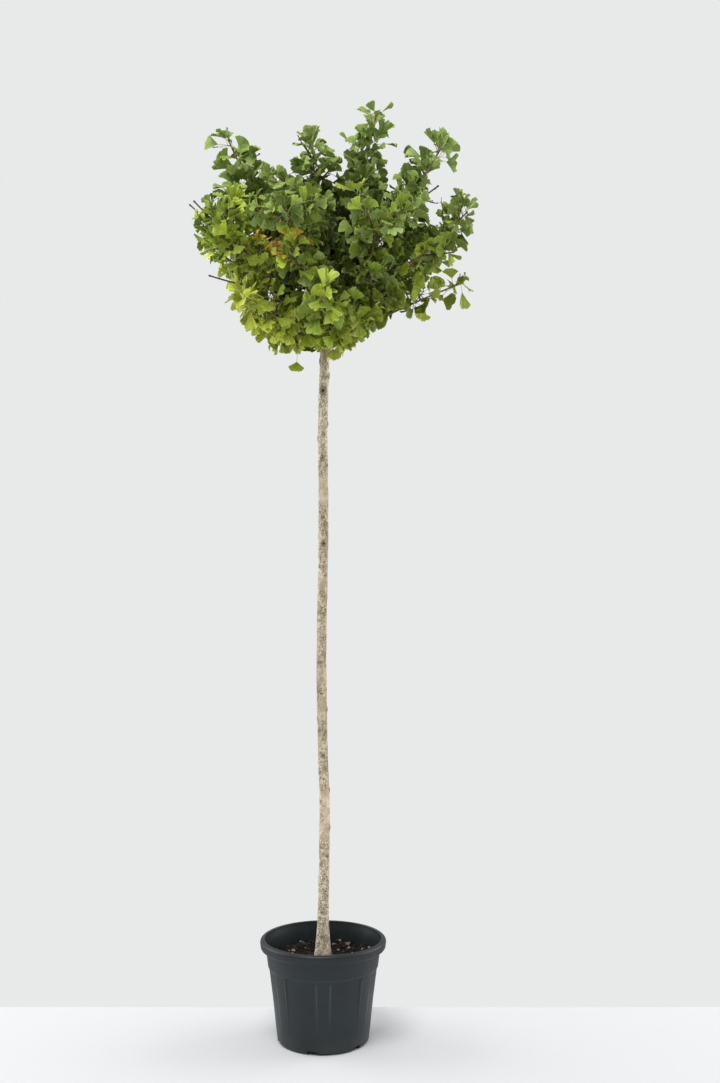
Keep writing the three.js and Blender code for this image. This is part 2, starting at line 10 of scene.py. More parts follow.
import bpy
import numpy as np
from bpy.props import FloatProperty, FloatVectorProperty, IntProperty, PointerProperty
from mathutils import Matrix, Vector


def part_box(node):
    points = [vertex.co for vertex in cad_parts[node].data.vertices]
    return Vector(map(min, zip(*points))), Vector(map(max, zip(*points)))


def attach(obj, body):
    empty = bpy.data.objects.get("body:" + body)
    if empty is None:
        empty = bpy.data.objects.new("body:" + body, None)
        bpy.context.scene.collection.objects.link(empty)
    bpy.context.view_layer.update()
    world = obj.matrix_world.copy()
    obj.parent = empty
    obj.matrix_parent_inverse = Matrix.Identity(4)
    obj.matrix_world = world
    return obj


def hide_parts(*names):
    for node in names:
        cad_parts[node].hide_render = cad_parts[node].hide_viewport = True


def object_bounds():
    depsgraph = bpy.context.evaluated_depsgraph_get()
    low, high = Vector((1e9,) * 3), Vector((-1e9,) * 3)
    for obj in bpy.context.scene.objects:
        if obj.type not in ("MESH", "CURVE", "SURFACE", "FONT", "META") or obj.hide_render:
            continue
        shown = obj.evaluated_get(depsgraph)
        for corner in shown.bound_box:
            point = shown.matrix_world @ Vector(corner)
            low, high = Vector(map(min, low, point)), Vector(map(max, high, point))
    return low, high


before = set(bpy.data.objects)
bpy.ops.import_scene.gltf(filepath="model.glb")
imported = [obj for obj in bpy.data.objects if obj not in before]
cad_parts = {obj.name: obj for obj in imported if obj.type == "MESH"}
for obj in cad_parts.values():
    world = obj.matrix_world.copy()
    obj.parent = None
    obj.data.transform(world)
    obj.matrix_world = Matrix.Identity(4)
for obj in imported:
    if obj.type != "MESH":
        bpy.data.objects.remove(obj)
CAD_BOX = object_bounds()

bl_info = {
    "name": "Potted ginkgo standard",
    "version": (1, 0, 0),
    "blender": (4, 5, 0),
    "location": "3D View > Sidebar > Ginkgo",
    "description": "Builds a grafted ginkgo on a tall clear stem, in a ribbed nursery pot of soil",
    "category": "Add Mesh",
}

TURN = 2 * math.pi
GOLDEN_TURN = 0.381966 * TURN  # from one bud to the next up a shoot
X_AXIS, Y_AXIS, Z_AXIS = np.eye(3)
BAKE_MAP = "OFBake"

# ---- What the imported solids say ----
POT_LOW, POT_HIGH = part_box("pot")
SOIL_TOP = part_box("soil")[1].z
TRUNK_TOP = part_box("trunk")[1].z
BOUGH_NODES = sorted(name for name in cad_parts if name.startswith("bough_"))
FOLIAGE_NODES = sorted(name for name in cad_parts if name.startswith("foliage_"))

# ---- Pot ----
PANEL_HEIGHTS = (0.045, 0.252)  # where the pressed panels start and end
PANEL_SHOULDER = 0.004  # how far under its end a panel starts to round out
COLLAR_BOTTOM = 0.258
RIB_BEARING = math.radians(-94.9)
RIB_EDGES = tuple(math.radians(degrees) for degrees in (13.6, 16.6, 47.8, 50.8))  # from a rib's start
UNDERSIDE_RADIUS = 0.150
UNDERSIDE_LIFT = 0.0015  # of its middle
FOOT_RING = 0.012  # width of the ring that the pot stands on
FOOT_RADIUS = 0.1575  # of the outer wall, carried down to the ground
FOOT_CHAMFER = 0.006
FLOOR_HUB = 0.02  # radius of the fan in the middle of a floor
WALL_FLARE = 0.129  # growth of the wall's radius with height
CLOSE_ROWS = (0.240, 0.262)  # heights between which the wall's rows lie close
LIP_DEPTH = 0.035
LIP_LEAN = 0.0015  # how much narrower the lip is at its foot
LIP_CORNERS = (0.009, 0.013)  # radii of the lip's lower and upper outer corners
UNDER_LIP = 0.003  # radius of the hollow under the lip
MOUTH_RADIUS = 0.202
MOUTH_CORNER = 0.003
PAST_ARC = 0.001  # from an arc's end to the next row
INNER_HEIGHTS = np.array(
    [0.300, 0.286, 0.272, 0.262, COLLAR_BOTTOM, 0.254, PANEL_HEIGHTS[1], 0.2, 0.1, 0.045]
)
DRAIN_COUNT = 6
DRAIN_BEARING = math.radians(-102)
DRAIN_HEIGHT = 0.0135
DRAIN_STEP = 0.0005  # between the two rows at a notch's top
DRAIN_RADIUS = 0.1435  # how far in a drain notch goes
DRAIN_HALF_ANGLE = math.radians(5.7)
DRAIN_SIDE = 0.0012  # angle from a notch's side to the columns by it
DRAIN_CLEAR = 0.004  # angle from a notch's side to the nearest other column
COLUMNS_A_RIB = 52
# Painted highlight lines that make the pot paler: up the ribs' edges, and along the shoulder and the mouth.
PAINTED_HIGHLIGHT_LINES = SimpleNamespace(
    rib=0.010, starts=(0.06, 0.20), ends=(0.243, 0.250), line=0.0025, shoulder=0.25, mouth=0.003
)
POT_HARD_EDGE = math.radians(50)

# ---- Soil ----
SOIL_GAP = 0.0033  # to the outside of the pot's wall
SOIL_COLUMNS = 150
SOIL_RINGS = 46
SOIL_HUB = 0.006  # radius of the fan in the middle of its top
SOIL_BANK = (0.009, 0.095, 0.175)  # how much higher the soil lies by the wall, and over what radii it rises
# Layers of noise: weight, size of a lump, shift, points before it repeats, and seed.
SOIL_LUMPS = ((0.55, 0.021, 40, 128, 31), (0.45, 0.008, 90, 256, 32))
# Loose bits keep off the stem and the wall, vary in size and form, lean, and lie partly in the soil.
BITS = SimpleNamespace(
    inner=0.034, off_wall=0.008, spread=0.35, uneven=(0.7, 1.2), rough=0.06, lean=0.5, sunk=0.45,
    stand=0.12, seed=50,
)
BIT_HARD_EDGE = math.radians(30)
CHIP_CORNERS = np.array([[1, 0, 0], [0, 1, 0], [-1, 0, 0], [0, -1, 0], [0, 0, 1], [0, 0, -1]], float)
CHIP_FACES = np.array(
    [[0, 1, 4], [1, 2, 4], [2, 3, 4], [3, 0, 4], [1, 0, 5], [2, 1, 5], [3, 2, 5], [0, 3, 5]]
)

# ---- Stem ----
STEM_SWAY_X = np.array([-3, 2, 4.5, -3, -6, -1, 1, -1.5, 6]) / 1000  # at equal steps up to the graft
STEM_SWAY_Y = np.array([0, 2, 3, 1, -2, -3, -1, 2, 3]) / 1000
STEM_FOOT = SOIL_TOP + 0.0003
GRAFT_HEIGHT = 2.392
STEM_TAPER = (0.0032, 0.450)  # what the stem gains at its foot, and over what height it loses it
ROOT_FLARE = (0.012, 0.070)
FLARE_LOBES = (5, 0.09)
GRAFT_SWELL = (0.0025, 0.024)
STEM_COLUMNS = 52
STEM_ROWS = 840
STEM_SUNK = 0.010  # below the top of the soil
# The trunk's flat map: strips side by side, where each starts in its share, how much it fills, and its caps.
STRIPS = 7
STRIP_START = (0.02, 0.03)
STRIP_FILL = 0.96
CAP_MAP = np.array([[0.5, 0.012], [0.51, 0.004], [0.49, 0.004]])
# Nets of cracks: cells round the stem, their height, seed, a crack's share of a cell's width, and its depth.
CRACK_NETS = ((16, 0.030, 12, 0.22, 1.0), (30, 0.013, 13, 0.20, 0.75))
CRACK_WARP = 0.9  # cells by which a wider noise moves the nets
WARP_CELLS = (7, 0.030, 11)  # round the stem, their height, and seed
PATCH_CELLS = (5, 0.090, 14)
CRACK_PATCHES = (0.25, 0.70)  # the noise over which cracks come in
SHALLOWEST = 0.35  # depth of cracks between patches
# Lumps in the bark: weight, cells round the stem, their height, and seed.
BARK_LUMPS = ((1.0, 4, 0.055, 15), (0.5, 9, 0.018, 16))
LUMP_MIDDLE = 0.75  # the noise that leaves the bark as it is
LUMP_CONTRAST = 1.6
# A knot's height for its width, its dimple's depth and tightness, its dark middle, and its ring.
KNOT = SimpleNamespace(tall=1.15, dimple=0.45, tight=2.6, dark=1.9, ring=0.85, ring_width=0.35)
# Knots and old pruning scars: height, bearing in degrees, radius, how far they stand out, how dark they are.
KNOTS = (
    (2.404, -8, 0.008, 0.0050, 0.85), (2.350, 176, 0.009, 0.0042, 0.85),
    (2.300, -6, 0.009, 0.0042, 0.85), (2.247, -94, 0.0125, 0.0045, 1.0),
    (2.133, -12, 0.008, 0.0036, 0.85), (2.082, 184, 0.008, 0.0036, 0.85),
    (2.013, -96, 0.008, 0.0028, 0.7), (1.990, -40, 0.007, 0.0025, 0.5),
    (1.718, -86, 0.009, 0.0030, 0.95), (1.640, -140, 0.006, 0.0020, 0.5),
    (1.430, -60, 0.006, 0.0020, 0.6), (1.310, -115, 0.006, 0.0018, 0.5),
    (1.143, -2, 0.008, 0.0038, 0.85), (1.110, 181, 0.008, 0.0032, 0.85),
    (0.986, -88, 0.008, 0.0026, 0.8), (0.864, -5, 0.008, 0.0036, 0.85),
    (0.733, -9, 0.008, 0.0030, 0.85), (0.636, -48, 0.007, 0.0026, 0.7),
    (0.604, -128, 0.005, 0.0016, 0.6), (0.499, -52, 0.007, 0.0026, 0.6),
    (2.190, 96, 0.010, 0.0040, 0.8), (1.860, 68, 0.008, 0.0032, 0.6), (1.580, 128, 0.008, 0.0030, 0.7),
    (1.360, 62, 0.008, 0.0030, 0.6), (1.230, 112, 0.007, 0.0028, 0.6), (0.930, 82, 0.008, 0.0030, 0.7),
    (0.690, 124, 0.007, 0.0028, 0.6), (0.550, 58, 0.007, 0.0026, 0.6),
)
# Heights on the bark between which a look comes in, and then those between which it goes.
# Painted light: the bark is lighter at the top, where the crown shades it, and at the foot, where the pot
# shades it.
PAINTED_LIGHT_TOP = (1.92, 2.14, 2.30, 2.38)
PAINTED_LIGHT_FOOT = (0.52, 0.74)  # it only goes
# the bark is darker and more khaki over the middle heights
KHAKI_MIDDLE = (0.78, 1.05, 1.95, 2.10)
GRAFT_BROWN = (2.31, 2.43)  # it only comes in
# the bark is darker at the very foot of the stem, by the soil
DARK_FOOT = (0.285, 0.310)  # it only goes
RUST_SPOT = (-0.011, -0.017, 0.612)  # a brown stain on the bark
RUST_RADII = (0.004, 0.014)

# ---- Crown ----
CROWN_HUB = np.array([0.006, 0.002, 2.412])  # all the spaces for foliage start here
# The boughs of each tier: bearing and rise in degrees, and reach from the hub to the furthest leaf.
BOUGHS_OF = {
    "top": (
        (14, 77, 0.876), (62, 68, 0.785), (125, 62, 0.700),
        (191, 64, 0.812), (260, 72, 0.710), (347, 58, 0.800),
    ),
    "middle": (
        (354, 42, 0.710), (37, 43, 0.670), (83, 41, 0.600), (129, 40, 0.600),
        (175, 46, 0.712), (212, 42, 0.610), (254, 42, 0.600), (304, 43, 0.620),
    ),
    "low": (
        (13, 25, 0.600), (68, 18, 0.430), (128, 19, 0.430), (182, 21, 0.405),
        (226, 17, 0.430), (270, 15, 0.420), (315, 19, 0.440),
    ),
    "skirt": ((35, 1, 0.205), (122, -3, 0.215), (205, -9, 0.265), (288, -12, 0.215)),
}
TIERS = tuple(BOUGHS_OF)
BOUGH_COUNT = sum(len(boughs) for boughs in BOUGHS_OF.values())
TIER_OF = np.repeat(np.arange(len(TIERS)), [len(boughs) for boughs in BOUGHS_OF.values()])
BEARING, RISE, REACH = np.concatenate(list(BOUGHS_OF.values())).T
BEARING, RISE = np.radians([BEARING, RISE])
HEADING = np.stack([np.cos(RISE) * np.cos(BEARING), np.cos(RISE) * np.sin(BEARING), np.sin(RISE)], axis=-1)
BOUGH_SHARE = 0.24  # of the reach, where a bough ends and its mass starts
BOUGH_RADIUS = np.array([0.0070, 0.0060, 0.0052, 0.0044])[TIER_OF]
BOUGH_TIP_SHARE = 0.7
BOUGH_BEND = 0.5
BOUGH_ORDER = 5  # neighbours in a tier leave the head this many places apart
BOUGH_SIDES = 12
BOUGH_RINGS = 24
BOUGH_RELIEF = 0.16
# Streaks and swollen rings on the boughs: cells round them, rings from one to the next, wrap and seed.
BOUGH_NOISE = ((5, 2.2, 5, 21), (0, 1.3, 3, 22))
BOUGH_SHIFT = 40  # rows of noise from one bough to the next
GRAIN = SimpleNamespace(bough=120.0, twig=260.0, spur=420.0)  # streaks to the metre in the bark
# Heights over the graft between which the boughs of each tier leave the head.
HEAD_SPACING = {
    "skirt": (0.002, 0.008),
    "low": (0.016, 0.040),
    "middle": (0.050, 0.084),
    "top": (0.088, 0.112),
}
# The crown's body is a flattened ball, cut below by a cone about the stem. Leaders stand out of it.
BODY = SimpleNamespace(radius=0.475, half_height=0.325, middle=0.300, right=0.028, power=3.2)
UNDERSIDE = SimpleNamespace(slope=0.85, tilt=0.12, drop=0.150)
LEADER_RADIUS = 0.076
# Where the leaves end below, over the hub, and how that rises to the sides and towards the back.
HEM = SimpleNamespace(height=-0.030, rise=(0.170, 0.152), left=(0.18, 0.33), right=(0.0, 0.26), back=0.14)
RIGHT_HANG = 0.020  # how far leaves on the right may hang below the hem
# Where the body is leafy, and the height over the hub where all leaves end, higher about one leader.
FULL = SimpleNamespace(left=-0.435, right=0.470, lean=0.25, lean_from=0.25, top=0.535)
CEILING = SimpleNamespace(height=0.712, peak=0.832, middle=0.190, half_width=0.130)
STEM_MARGIN = 0.034  # from the middle of the stem to the nearest leaves below the top of its head
FOLIAGE_SEED = 6
STEM_STEPS = 4  # straight lengths in a mass's stem
STEM_RINGS = 49
STEM_WANDER = 0.04
STEM_TIP_RADIUS = 0.0027
STEM_INSIDE = 0.014  # how far inside the crown a mass's stem ends
SHORTEST_STEM = 0.25  # of its whole length
TIP_LEAVES = 0.0539
SHOOT_SPACING = 0.080
SHOOT_ANGLE = 0.85
SHOOT_SHARE = 0.34
SHORTEST_SHOOT = 0.040
SHOOT_CUT = 0.85
SHOOT_MARGIN = 0.016
SHOOT_SPREAD = (0.8, 1.2)
SHOOT_SAG = 0.05
WOOD_INSIDE = 0.022  # how far inside the crown shoots and twigs end
TWIG_CUTS = (1.0, 0.8, 0.62, 0.46)  # what is kept of a twig, tried in turn
TWIG = SimpleNamespace(
    angle=(0.7, 1.1), length=(0.5, 1.5), past_body=0.25, lift=0.22, shortest=0.022, rings=6
)
SPUR = SimpleNamespace(angle=(0.9, 1.35), length=(0.6, 1.7), inside=0.004, sides=5, on_twigs=0.9)
SPUR_STEPS = np.array([-0.1, 0.3, 0.38, 0.7, 0.78, 1.0, 1.12])[:, None]  # shares of its length
SPUR_RADII = np.array([2.0, 1.6, 1.95, 1.55, 1.9, 1.8, 0.7]) / 1000
SHOOT_RINGS = 12
# Radii at foot and tip, and number of sides.
SHOOT_TUBE = (0.0036, 0.0026, 7)
TWIG_TUBE = (0.0021, 0.0016, 5)
BUD_STEPS = np.array([0.9, 2.0, 3.0, 3.7])  # past a tip, in radii of the tip
BUD_SWELL = np.array([1.35, 1.45, 1.0, 0.35])
LEAST_BUD = 0.0014
# Shoots that have lost their leaves: where each starts and ends.
BARE_SHOOTS = np.array(
    [
        ((-0.316, 0.040, 2.773), (-0.465, 0.050, 2.902)),
        ((-0.290, -0.170, 2.725), (-0.418, -0.210, 2.848)),
        ((-0.240, -0.100, 2.590), (-0.376, -0.120, 2.622)),
        ((-0.170, -0.060, 2.505), (-0.284, -0.080, 2.534)),
        ((0.250, -0.120, 2.640), (0.352, -0.150, 2.700)),
    ]
)
BARE_SAG = 0.004

# ---- Leaves ----
HALF_SHARES = np.array([0, 0.045, 0.12, 0.20, 0.28, 0.36, 0.44])
COLUMN_SHARES = np.concatenate([HALF_SHARES, [0.5], 1 - HALF_SHARES[::-1]])  # across a fan
CORNER_ROUNDING = np.array([0.90, 0.975, 1, 1, 1, 1, 0.99, 1, 0.99, 1, 1, 1, 1, 0.975, 0.90])
NOTCHED = np.array([0, 0, 0, 0, 0, 0, 0.08, 1, 0.08, 0, 0, 0, 0, 0, 0])
SCALLOPED = np.array([0, 0, 0.6, 0, 1, 0, 0.6, 0, 0.6, 0, 1, 0, 0.6, 0, 0])  # where smaller notches may fall
FAN_COLUMNS = len(COLUMN_SHARES)
FAN_MIDDLE = 0.56  # of a fan's radius, where its inner row lies
FAN_WAIST = 0.96  # of its opening there, so that its straight sides curve in
BLADE_THICKNESS = 0.0006
STALK_SHARES = np.array([0.0, 0.4, 0.75, 1.02])
STALK_SIDES = 3
STALK_RADII = np.array([0.0012, 0.0009, 0.0009, 0.0010])
LEAF_HARD_EDGE = math.radians(75)
# From what to what each leaf's measures are drawn; scallops and wobble have a mean and a spread.
FAN = SimpleNamespace(
    opening=(0.58, 1.02), notch=(0.03, 0.34), notched_share=0.65, scallop=(0.030, 0.048),
    wobble=(0, 0.013), ripple=(0.03, 0.12), waves=(1.4, 3.2), fold=(-0.20, 0.62), curl=(-0.20, 0.60),
    pleat=(0.005, 0.045),
)
CURL_SHARE = 0.6
INNER_RIPPLE = 0.2
INNER_PLEAT = 0.5
# Where a leaf's parts lie in its own row of the flat map.
FLAT = SimpleNamespace(left=0.02, wide=0.46, foot=0.1, tall=0.88, stalk=((0.02, 0.01), (0.12, 0.07)))
TONES = 4  # rows of lighter and darker leaves in a leaf material: painted shade for leaves deep in the crown, random tone, and brown among the gold
INNER_TONE = 3.6  # rows darker in the middle of the crown than at its surface, as painted shade
TONE_EDGE = 1.05
TONE_DRIFT = 1.3
# From what to what each spray's and leaf's place and size are drawn, or by how much they vary both ways.
SPRAY = SimpleNamespace(
    count=1.4, leader_tips=1.5, width=(0.6, 1.2), spread=(0.4, 1.2), tip_spread=(0.15, 0.85), lift=0.2,
    stalk=(0.32, 0.6), droop=(0.1, 0.7), tier_droop=0.12,
)
# What a leaf's upper side turns to: its shoot's heading, outwards (less so upwards), the sky, and chance.
FACING = SimpleNamespace(heading=0.7, outward=0.45, level=np.array([1, 1, 0.4]), sky=0.2, chance=0.6)
# A blade's middle and corners, in stalks and widths, and how far they may lie past the crown.
PROBE = SimpleNamespace(stalk=0.85, blade=0.55, corner=0.42, middle_past=0.010, corner_past=0.020)
THIN_SPARE = 0.34  # of a leaf's width that keeps clear of a thin place
LIFT = np.array([0.55, 0.30, -0.05, -0.60])  # how far the leaves of a tier stand up or hang
TIER_SIZE = np.array([1.0, 1.0, 1.12, 1.25])  # of a tier's leaves
LEADER_LEAVES = 1.16  # how much larger the leaves on the leaders are
FURTHEST_REACH = 0.870
TINTS = ("deep", "dark", "mid", "fresh", "lime", "gold")
GOLD = TINTS.index("gold")
TINT_STEPS = (0.24, 0.42, 0.62, 0.84)  # of the warmth that parts one tint from the next
# Warmth at the hub, how it falls with height and falls faster from some height, and what else changes it.
WARMTH = SimpleNamespace(
    hub=0.98, fall=1.40, high=0.40, high_fall=1.6, left=0.44, cool=0.34, drift=0.34, chance=0.20
)
LEFT_FADE = (1.5, 0.35)  # warmer on the left up to where this share less the height over this length is 0
# Cooler and warmer places: right and up of the hub, half width, half height, and how much cooler.
COOL_PLACES = ((0.06, 0.18, 0.15, 0.14, 1.0), (0.36, 0.17, 0.15, 0.10, -0.6))
DRIFT = SimpleNamespace(size=0.14, depth=0.2, shift=50, wrap=128, seed=41)
LEADERS_ONLY = 0.50  # height over the hub from which leaves have the leaders' tint
LEADER_BLUR = 0.06
GOLD_SPOT = np.array([-0.186, -0.355, 2.674])
GOLD_RADIUS = 0.138
GOLD_STRETCH = np.array([0.9, 1.4, 0.55])
GOLD_CHANCE = (2.3, 2.0, 0.92)  # at the spot, how it falls with distance in radii, and at most
GOLD_SIZE = 0.66
GOLD_DRIFT = 2.0  # how much more a gold leaf's tone varies
VIEW_FROM = np.array([0.1277, -4.64, 1.725])  # where the camera stands, in front of the tree
# Thin places that show light through the head from in front: right and up of the origin, and radius.
THIN_PLACES = np.array(
    [
        (-0.261, 2.794, 0.006), (-0.091, 2.607, 0.006), (-0.063, 2.590, 0.006), (-0.185, 2.586, 0.006),
        (0.197, 2.770, 0.006), (0.395, 2.839, 0.006), (0.402, 2.985, 0.020), (0.398, 2.945, 0.026),
        (0.384, 2.905, 0.018), (-0.120, 3.145, 0.010), (0.008, 3.150, 0.012),
    ]
)
PAST_SOLIDS = (-0.026, 0.010, 0.010)  # how far past the solids' box a blade's middle and corners may lie
# Leaves that hang alone under the crown: where their stalk starts, where it heads, width, and stalk length.
STRAYS = (
    ((-0.084, -0.052, 2.398), (-0.10, 0.0, -1.0), 0.060, 0.056),
    ((-0.060, -0.090, 2.462), (0.2, -0.2, -1.0), 0.070, 0.030),
    ((-0.020, -0.080, 2.466), (0.1, -0.3, -1.0), 0.074, 0.026),
    ((-0.110, -0.070, 2.470), (-0.3, -0.2, -1.0), 0.068, 0.028),
    ((0.044, -0.040, 2.438), (0.3, -0.1, -1.0), 0.032, 0.024),
)
STRAY_DROOP = 0.25
LEAF_SEED = 100  # of the first tint in the first tier
SEEDS_A_TIER = 10

# ---- Stage ----
SENSOR_WIDTH = 36  # in mm
NEAREST_SEEN = 0.05  # metres from the camera
FLOOR_DROP = 0.0005  # how far the floor lies under the pot
LIGHTS_AIM = Vector((0, 0, 2.0))
# Lights: name, which power they have, width, height and place.
LAMPS = (
    ("key", "key_power", 2.4, 2.4, (-0.9, -2.4, 5.6)),
    ("left_panel", "side_power", 3.0, 4.0, (-3.6, 1.0, 2.6)),
    ("right_panel", "side_power", 3.0, 4.0, (3.6, 1.0, 2.6)),
)


# ---- Sizes and colours that a user may change ----


def length(name, description, default):
    """A size in metres."""
    return FloatProperty(name=name, description=description, default=default, unit="LENGTH", precision=4)


def share(name, description, default):
    """A plain factor."""
    return FloatProperty(name=name, description=description, default=default, min=0, soft_max=2)


def power(name, description, default):
    """A light's power in watts."""
    return FloatProperty(name=name, description=description, default=default, unit="POWER")


def colour(name, description, red, green, blue):
    """A colour from its display values 0 to 255, kept as linear light: ((v + 0.055) / 1.055) ** 2.4 above
    0.04."""
    display = [value / 255 for value in (red, green, blue)]
    linear = [v / 12.92 if v <= 0.04045 else ((v + 0.055) / 1.055) ** 2.4 for v in display]
    return FloatVectorProperty(
        name=name, description=description, default=linear, subtype="COLOR", min=0, max=1
    )


class PotSizes(bpy.types.PropertyGroup):
    """The moulded pot and what fills it."""

    height: length("Height", "From the ground to the top of the lip", POT_HIGH.z)
    lip_radius: length("Lip radius", "Out to the widest part of the lip", (POT_HIGH.x - POT_LOW.x) / 2)
    panel_recess: length("Panel recess", "How far a panel is pressed in at its top", 0.0055)
    rib_count: IntProperty(name="Ribs", description="Raised ribs round the wall", default=7, min=3)
    wall: length("Wall", "Thickness of the wall and floor", 0.003)
    soil_height: length("Soil height", "From the ground to the top of the soil", SOIL_TOP)
    soil_relief: length("Soil relief", "How far lumps of soil stand out", 0.006)
    soil_bits: IntProperty(name="Soil bits", description="Bark chips on the soil", default=420, min=0)


class StemSizes(bpy.types.PropertyGroup):
    """The bare stem and its bark."""

    radius: length("Radius", "Of the stem under the graft", 0.0166)
    head_radius: length("Head radius", "At the top of the head, among the boughs", 0.011)
    crack_depth: length("Crack depth", "How far the net of cracks goes into the bark", 0.0009)
    lump_height: length("Lump height", "How far the bark swells and sinks", 0.0011)


class CrownSizes(bpy.types.PropertyGroup):
    """The twigs and leaves of the head."""

    twig_spacing: length("Twig spacing", "Between fine twigs on a shoot", 0.056)
    twig_length: length("Twig length", "Of an average fine twig", 0.062)
    spur_spacing: length("Spur spacing", "Between the short spurs that carry the leaves", 0.0275)
    spur_length: length("Spur length", "Of an average spur", 0.0075)
    inner_leaf: length("Inner leaf width", "Across a fan near the stem", 0.064)
    outer_leaf: length("Outer leaf width", "Across a fan at the end of a leader", 0.060)
    spray: share("Leaves in a spray", "Average number of leaves on a spur", 2.5)
    tip_spray: share("Leaves at a tip", "Average number of leaves round an end bud", 4.2)


class PlantColours(bpy.types.PropertyGroup):
    """Base colours of the plant and its pot."""

    deep: colour("Grey green", "Leaves of the upright leaders", 134, 156, 72)
    dark: colour("Dark green", "Leaves of the upper crown", 127, 150, 57)
    mid: colour("Mid green", "Leaves of the middle", 139, 162, 46)
    fresh: colour("Fresh green", "Leaves of the lower crown", 166, 185, 50)
    lime: colour("Lime green", "Leaves at the foot of the crown", 190, 202, 62)
    gold: colour("Gold", "Leaves that turn first", 222, 188, 56)
    stalk: colour("Leaf stalk", "Stalks of the leaves", 170, 182, 100)
    bark: colour("Bark", "Light plates of the stem's bark", 236, 220, 194)
    bark_brown: colour("Brown bark", "Cracks and flecks of the stem's bark", 122, 90, 50)
    knot: colour("Knot", "Old scars on the stem", 58, 50, 34)
    bough: colour("Bough", "Bark of the boughs", 130, 106, 66)
    twig: colour("Twig", "Bark of the twigs", 102, 80, 52)
    spur: colour("Spur", "The spurs and end buds", 82, 64, 44)
    pot: colour("Pot", "Moulded plastic", 16, 29, 33)
    soil: colour("Soil", "Moist potting soil", 23, 18, 12)
    stone: colour("Light bits", "Light bits in the soil", 186, 166, 150)
    chip: colour("Brown bits", "Bark chips in the soil", 52, 40, 29)
    grit: colour("Grit", "Fine dark grit in the soil", 38, 31, 25)


class StageSizes(bpy.types.PropertyGroup):
    """The camera, the floor and the light."""

    camera_right: length("Camera right", "Of the pot's middle", VIEW_FROM[0])
    camera_distance: length("Camera distance", "In front of the pot's middle", -VIEW_FROM[1])
    camera_height: length("Camera height", "Above the floor", VIEW_FROM[2])
    lens: FloatProperty(name="Lens", description="Focal length in mm", default=44.44, min=10)
    floor_behind: length("Floor behind", "How far the floor goes on behind the pot", 0.315)
    floor_reach: length("Floor reach", "How far the floor goes in front and to the sides", 7.0)
    key_power: power("Key light", "Power of the light above", 150)
    side_power: power("Side panels", "Power of each soft panel", 84)
    backdrop: colour("Backdrop", "What is seen behind the plant", 232, 234, 234)
    floor: colour("Floor", "The plain pale floor", 231, 232, 234)
    sky: share("Sky light", "Strength of the even light from all sides", 0.47)


class GinkgoSizes(bpy.types.PropertyGroup):
    """All the sizes and colours of the plant and its stage."""

    pot: PointerProperty(type=PotSizes)
    stem: PointerProperty(type=StemSizes)
    crown: PointerProperty(type=CrownSizes)
    colours: PointerProperty(type=PlantColours)
    stage: PointerProperty(type=StageSizes)


# ---- Numbers and directions ----


def lerp(low, high, part):
    """low + (high - low) * part."""
    return low + (high - low) * part


def unit(vectors):
    """Each vector over its own length."""
    return vectors / np.maximum(np.linalg.norm(vectors, axis=-1, keepdims=True), 1e-12)


def bell(value, width=1.0):
    """exp(-(value / width) ** 2)."""
    return np.exp(-((value / width) ** 2))


def together(*parts):
    """Arrays stretched to one shape and set side by side along a new last axis."""
    return np.stack(np.broadcast_arrays(*parts), axis=-1)


def eased(value, low, high):
    """0 below low, 1 above high, and t * t * (3 - 2 * t) between them."""
    t = np.clip((value - low) / (high - low), 0, 1)
    return t * t * (3 - 2 * t)


def square_to(directions):
    """Two directions square to each given one: side = unit(d x level), across = d x side. Level is Z, or X
    where d is within 26 degrees of Z."""
    steep = np.abs(directions[..., 2:3]) > 0.9
    level = np.where(steep, X_AXIS, Z_AXIS)
    side = unit(np.cross(directions, level))
    return side, np.cross(directions, side)


def cell_noise(across, up, wrap, seed):
    """Smooth noise from 0 to 1: random values at whole points of (across, up), blended both ways by
    t * t * (3 - 2 * t). It repeats in `across` after `wrap` points."""
    rows = 1024
    table = np.random.default_rng(seed).random((rows, wrap))
    left = np.floor(across).astype(int)
    below = np.floor(up).astype(int)
    s = eased(across - left, 0, 1)
    t = eased(up - below, 0, 1)

    def value(row, column):
        return table[row % rows, column % wrap]

    low = lerp(value(below, left), value(below, left + 1), s)
    high = lerp(value(below + 1, left), value(below + 1, left + 1), s)
    return lerp(low, high, t)


def seeded(seed):
    """Draws from 0 to 1 by state = 1664525 * state + 1013904223 modulo 2 ** 32, from 2654435761 * seed."""
    state = (seed * 2654435761) % 2**32

    def draw():
        nonlocal state
        state = (state * 1664525 + 1013904223) % 2**32
        return state / 2**32

    return draw


# ---- Meshes from arrays ----


def mesh_piece(name, points, polygons, corner_map=None, sharp=None, **attributes):
    """A smooth-shaded mesh object at the origin. `polygons` is a list of index arrays, one for each number
    of corners; corner_map holds a flat map's (u, v) for each corner in the same order; attributes are
    numbers at the points; edges that turn by more than `sharp` radians are kept hard."""
    mesh = bpy.data.meshes.new(name)
    corners = np.concatenate([faces.ravel() for faces in polygons])
    counts = np.concatenate([np.full(len(faces), faces.shape[1]) for faces in polygons])
    mesh.vertices.add(len(points))
    mesh.vertices.foreach_set("co", np.ascontiguousarray(points, dtype=np.float32).ravel())
    mesh.loops.add(len(corners))
    mesh.loops.foreach_set("vertex_index", corners.astype(np.int32))
    mesh.polygons.add(len(counts))
    mesh.polygons.foreach_set("loop_start", (np.cumsum(counts) - counts).astype(np.int32))
    mesh.update(calc_edges=True)
    if mesh.validate():
        raise RuntimeError(f"{name} has faulty faces")
    mesh.shade_smooth()
    if sharp is not None:
        mesh.set_sharp_from_angle(angle=sharp)
    if corner_map is not None:
        layer = mesh.uv_layers.new(name=BAKE_MAP)
        layer.uv.foreach_set("vector", np.ascontiguousarray(corner_map, dtype=np.float32).ravel())
    for key, values in attributes.items():
        layer = mesh.attributes.new(key, "FLOAT", "POINT")
        layer.data.foreach_set("value", np.asarray(values, np.float32).ravel())
    piece = bpy.data.objects.new(name, mesh)
    bpy.context.scene.collection.objects.link(piece)
    return piece


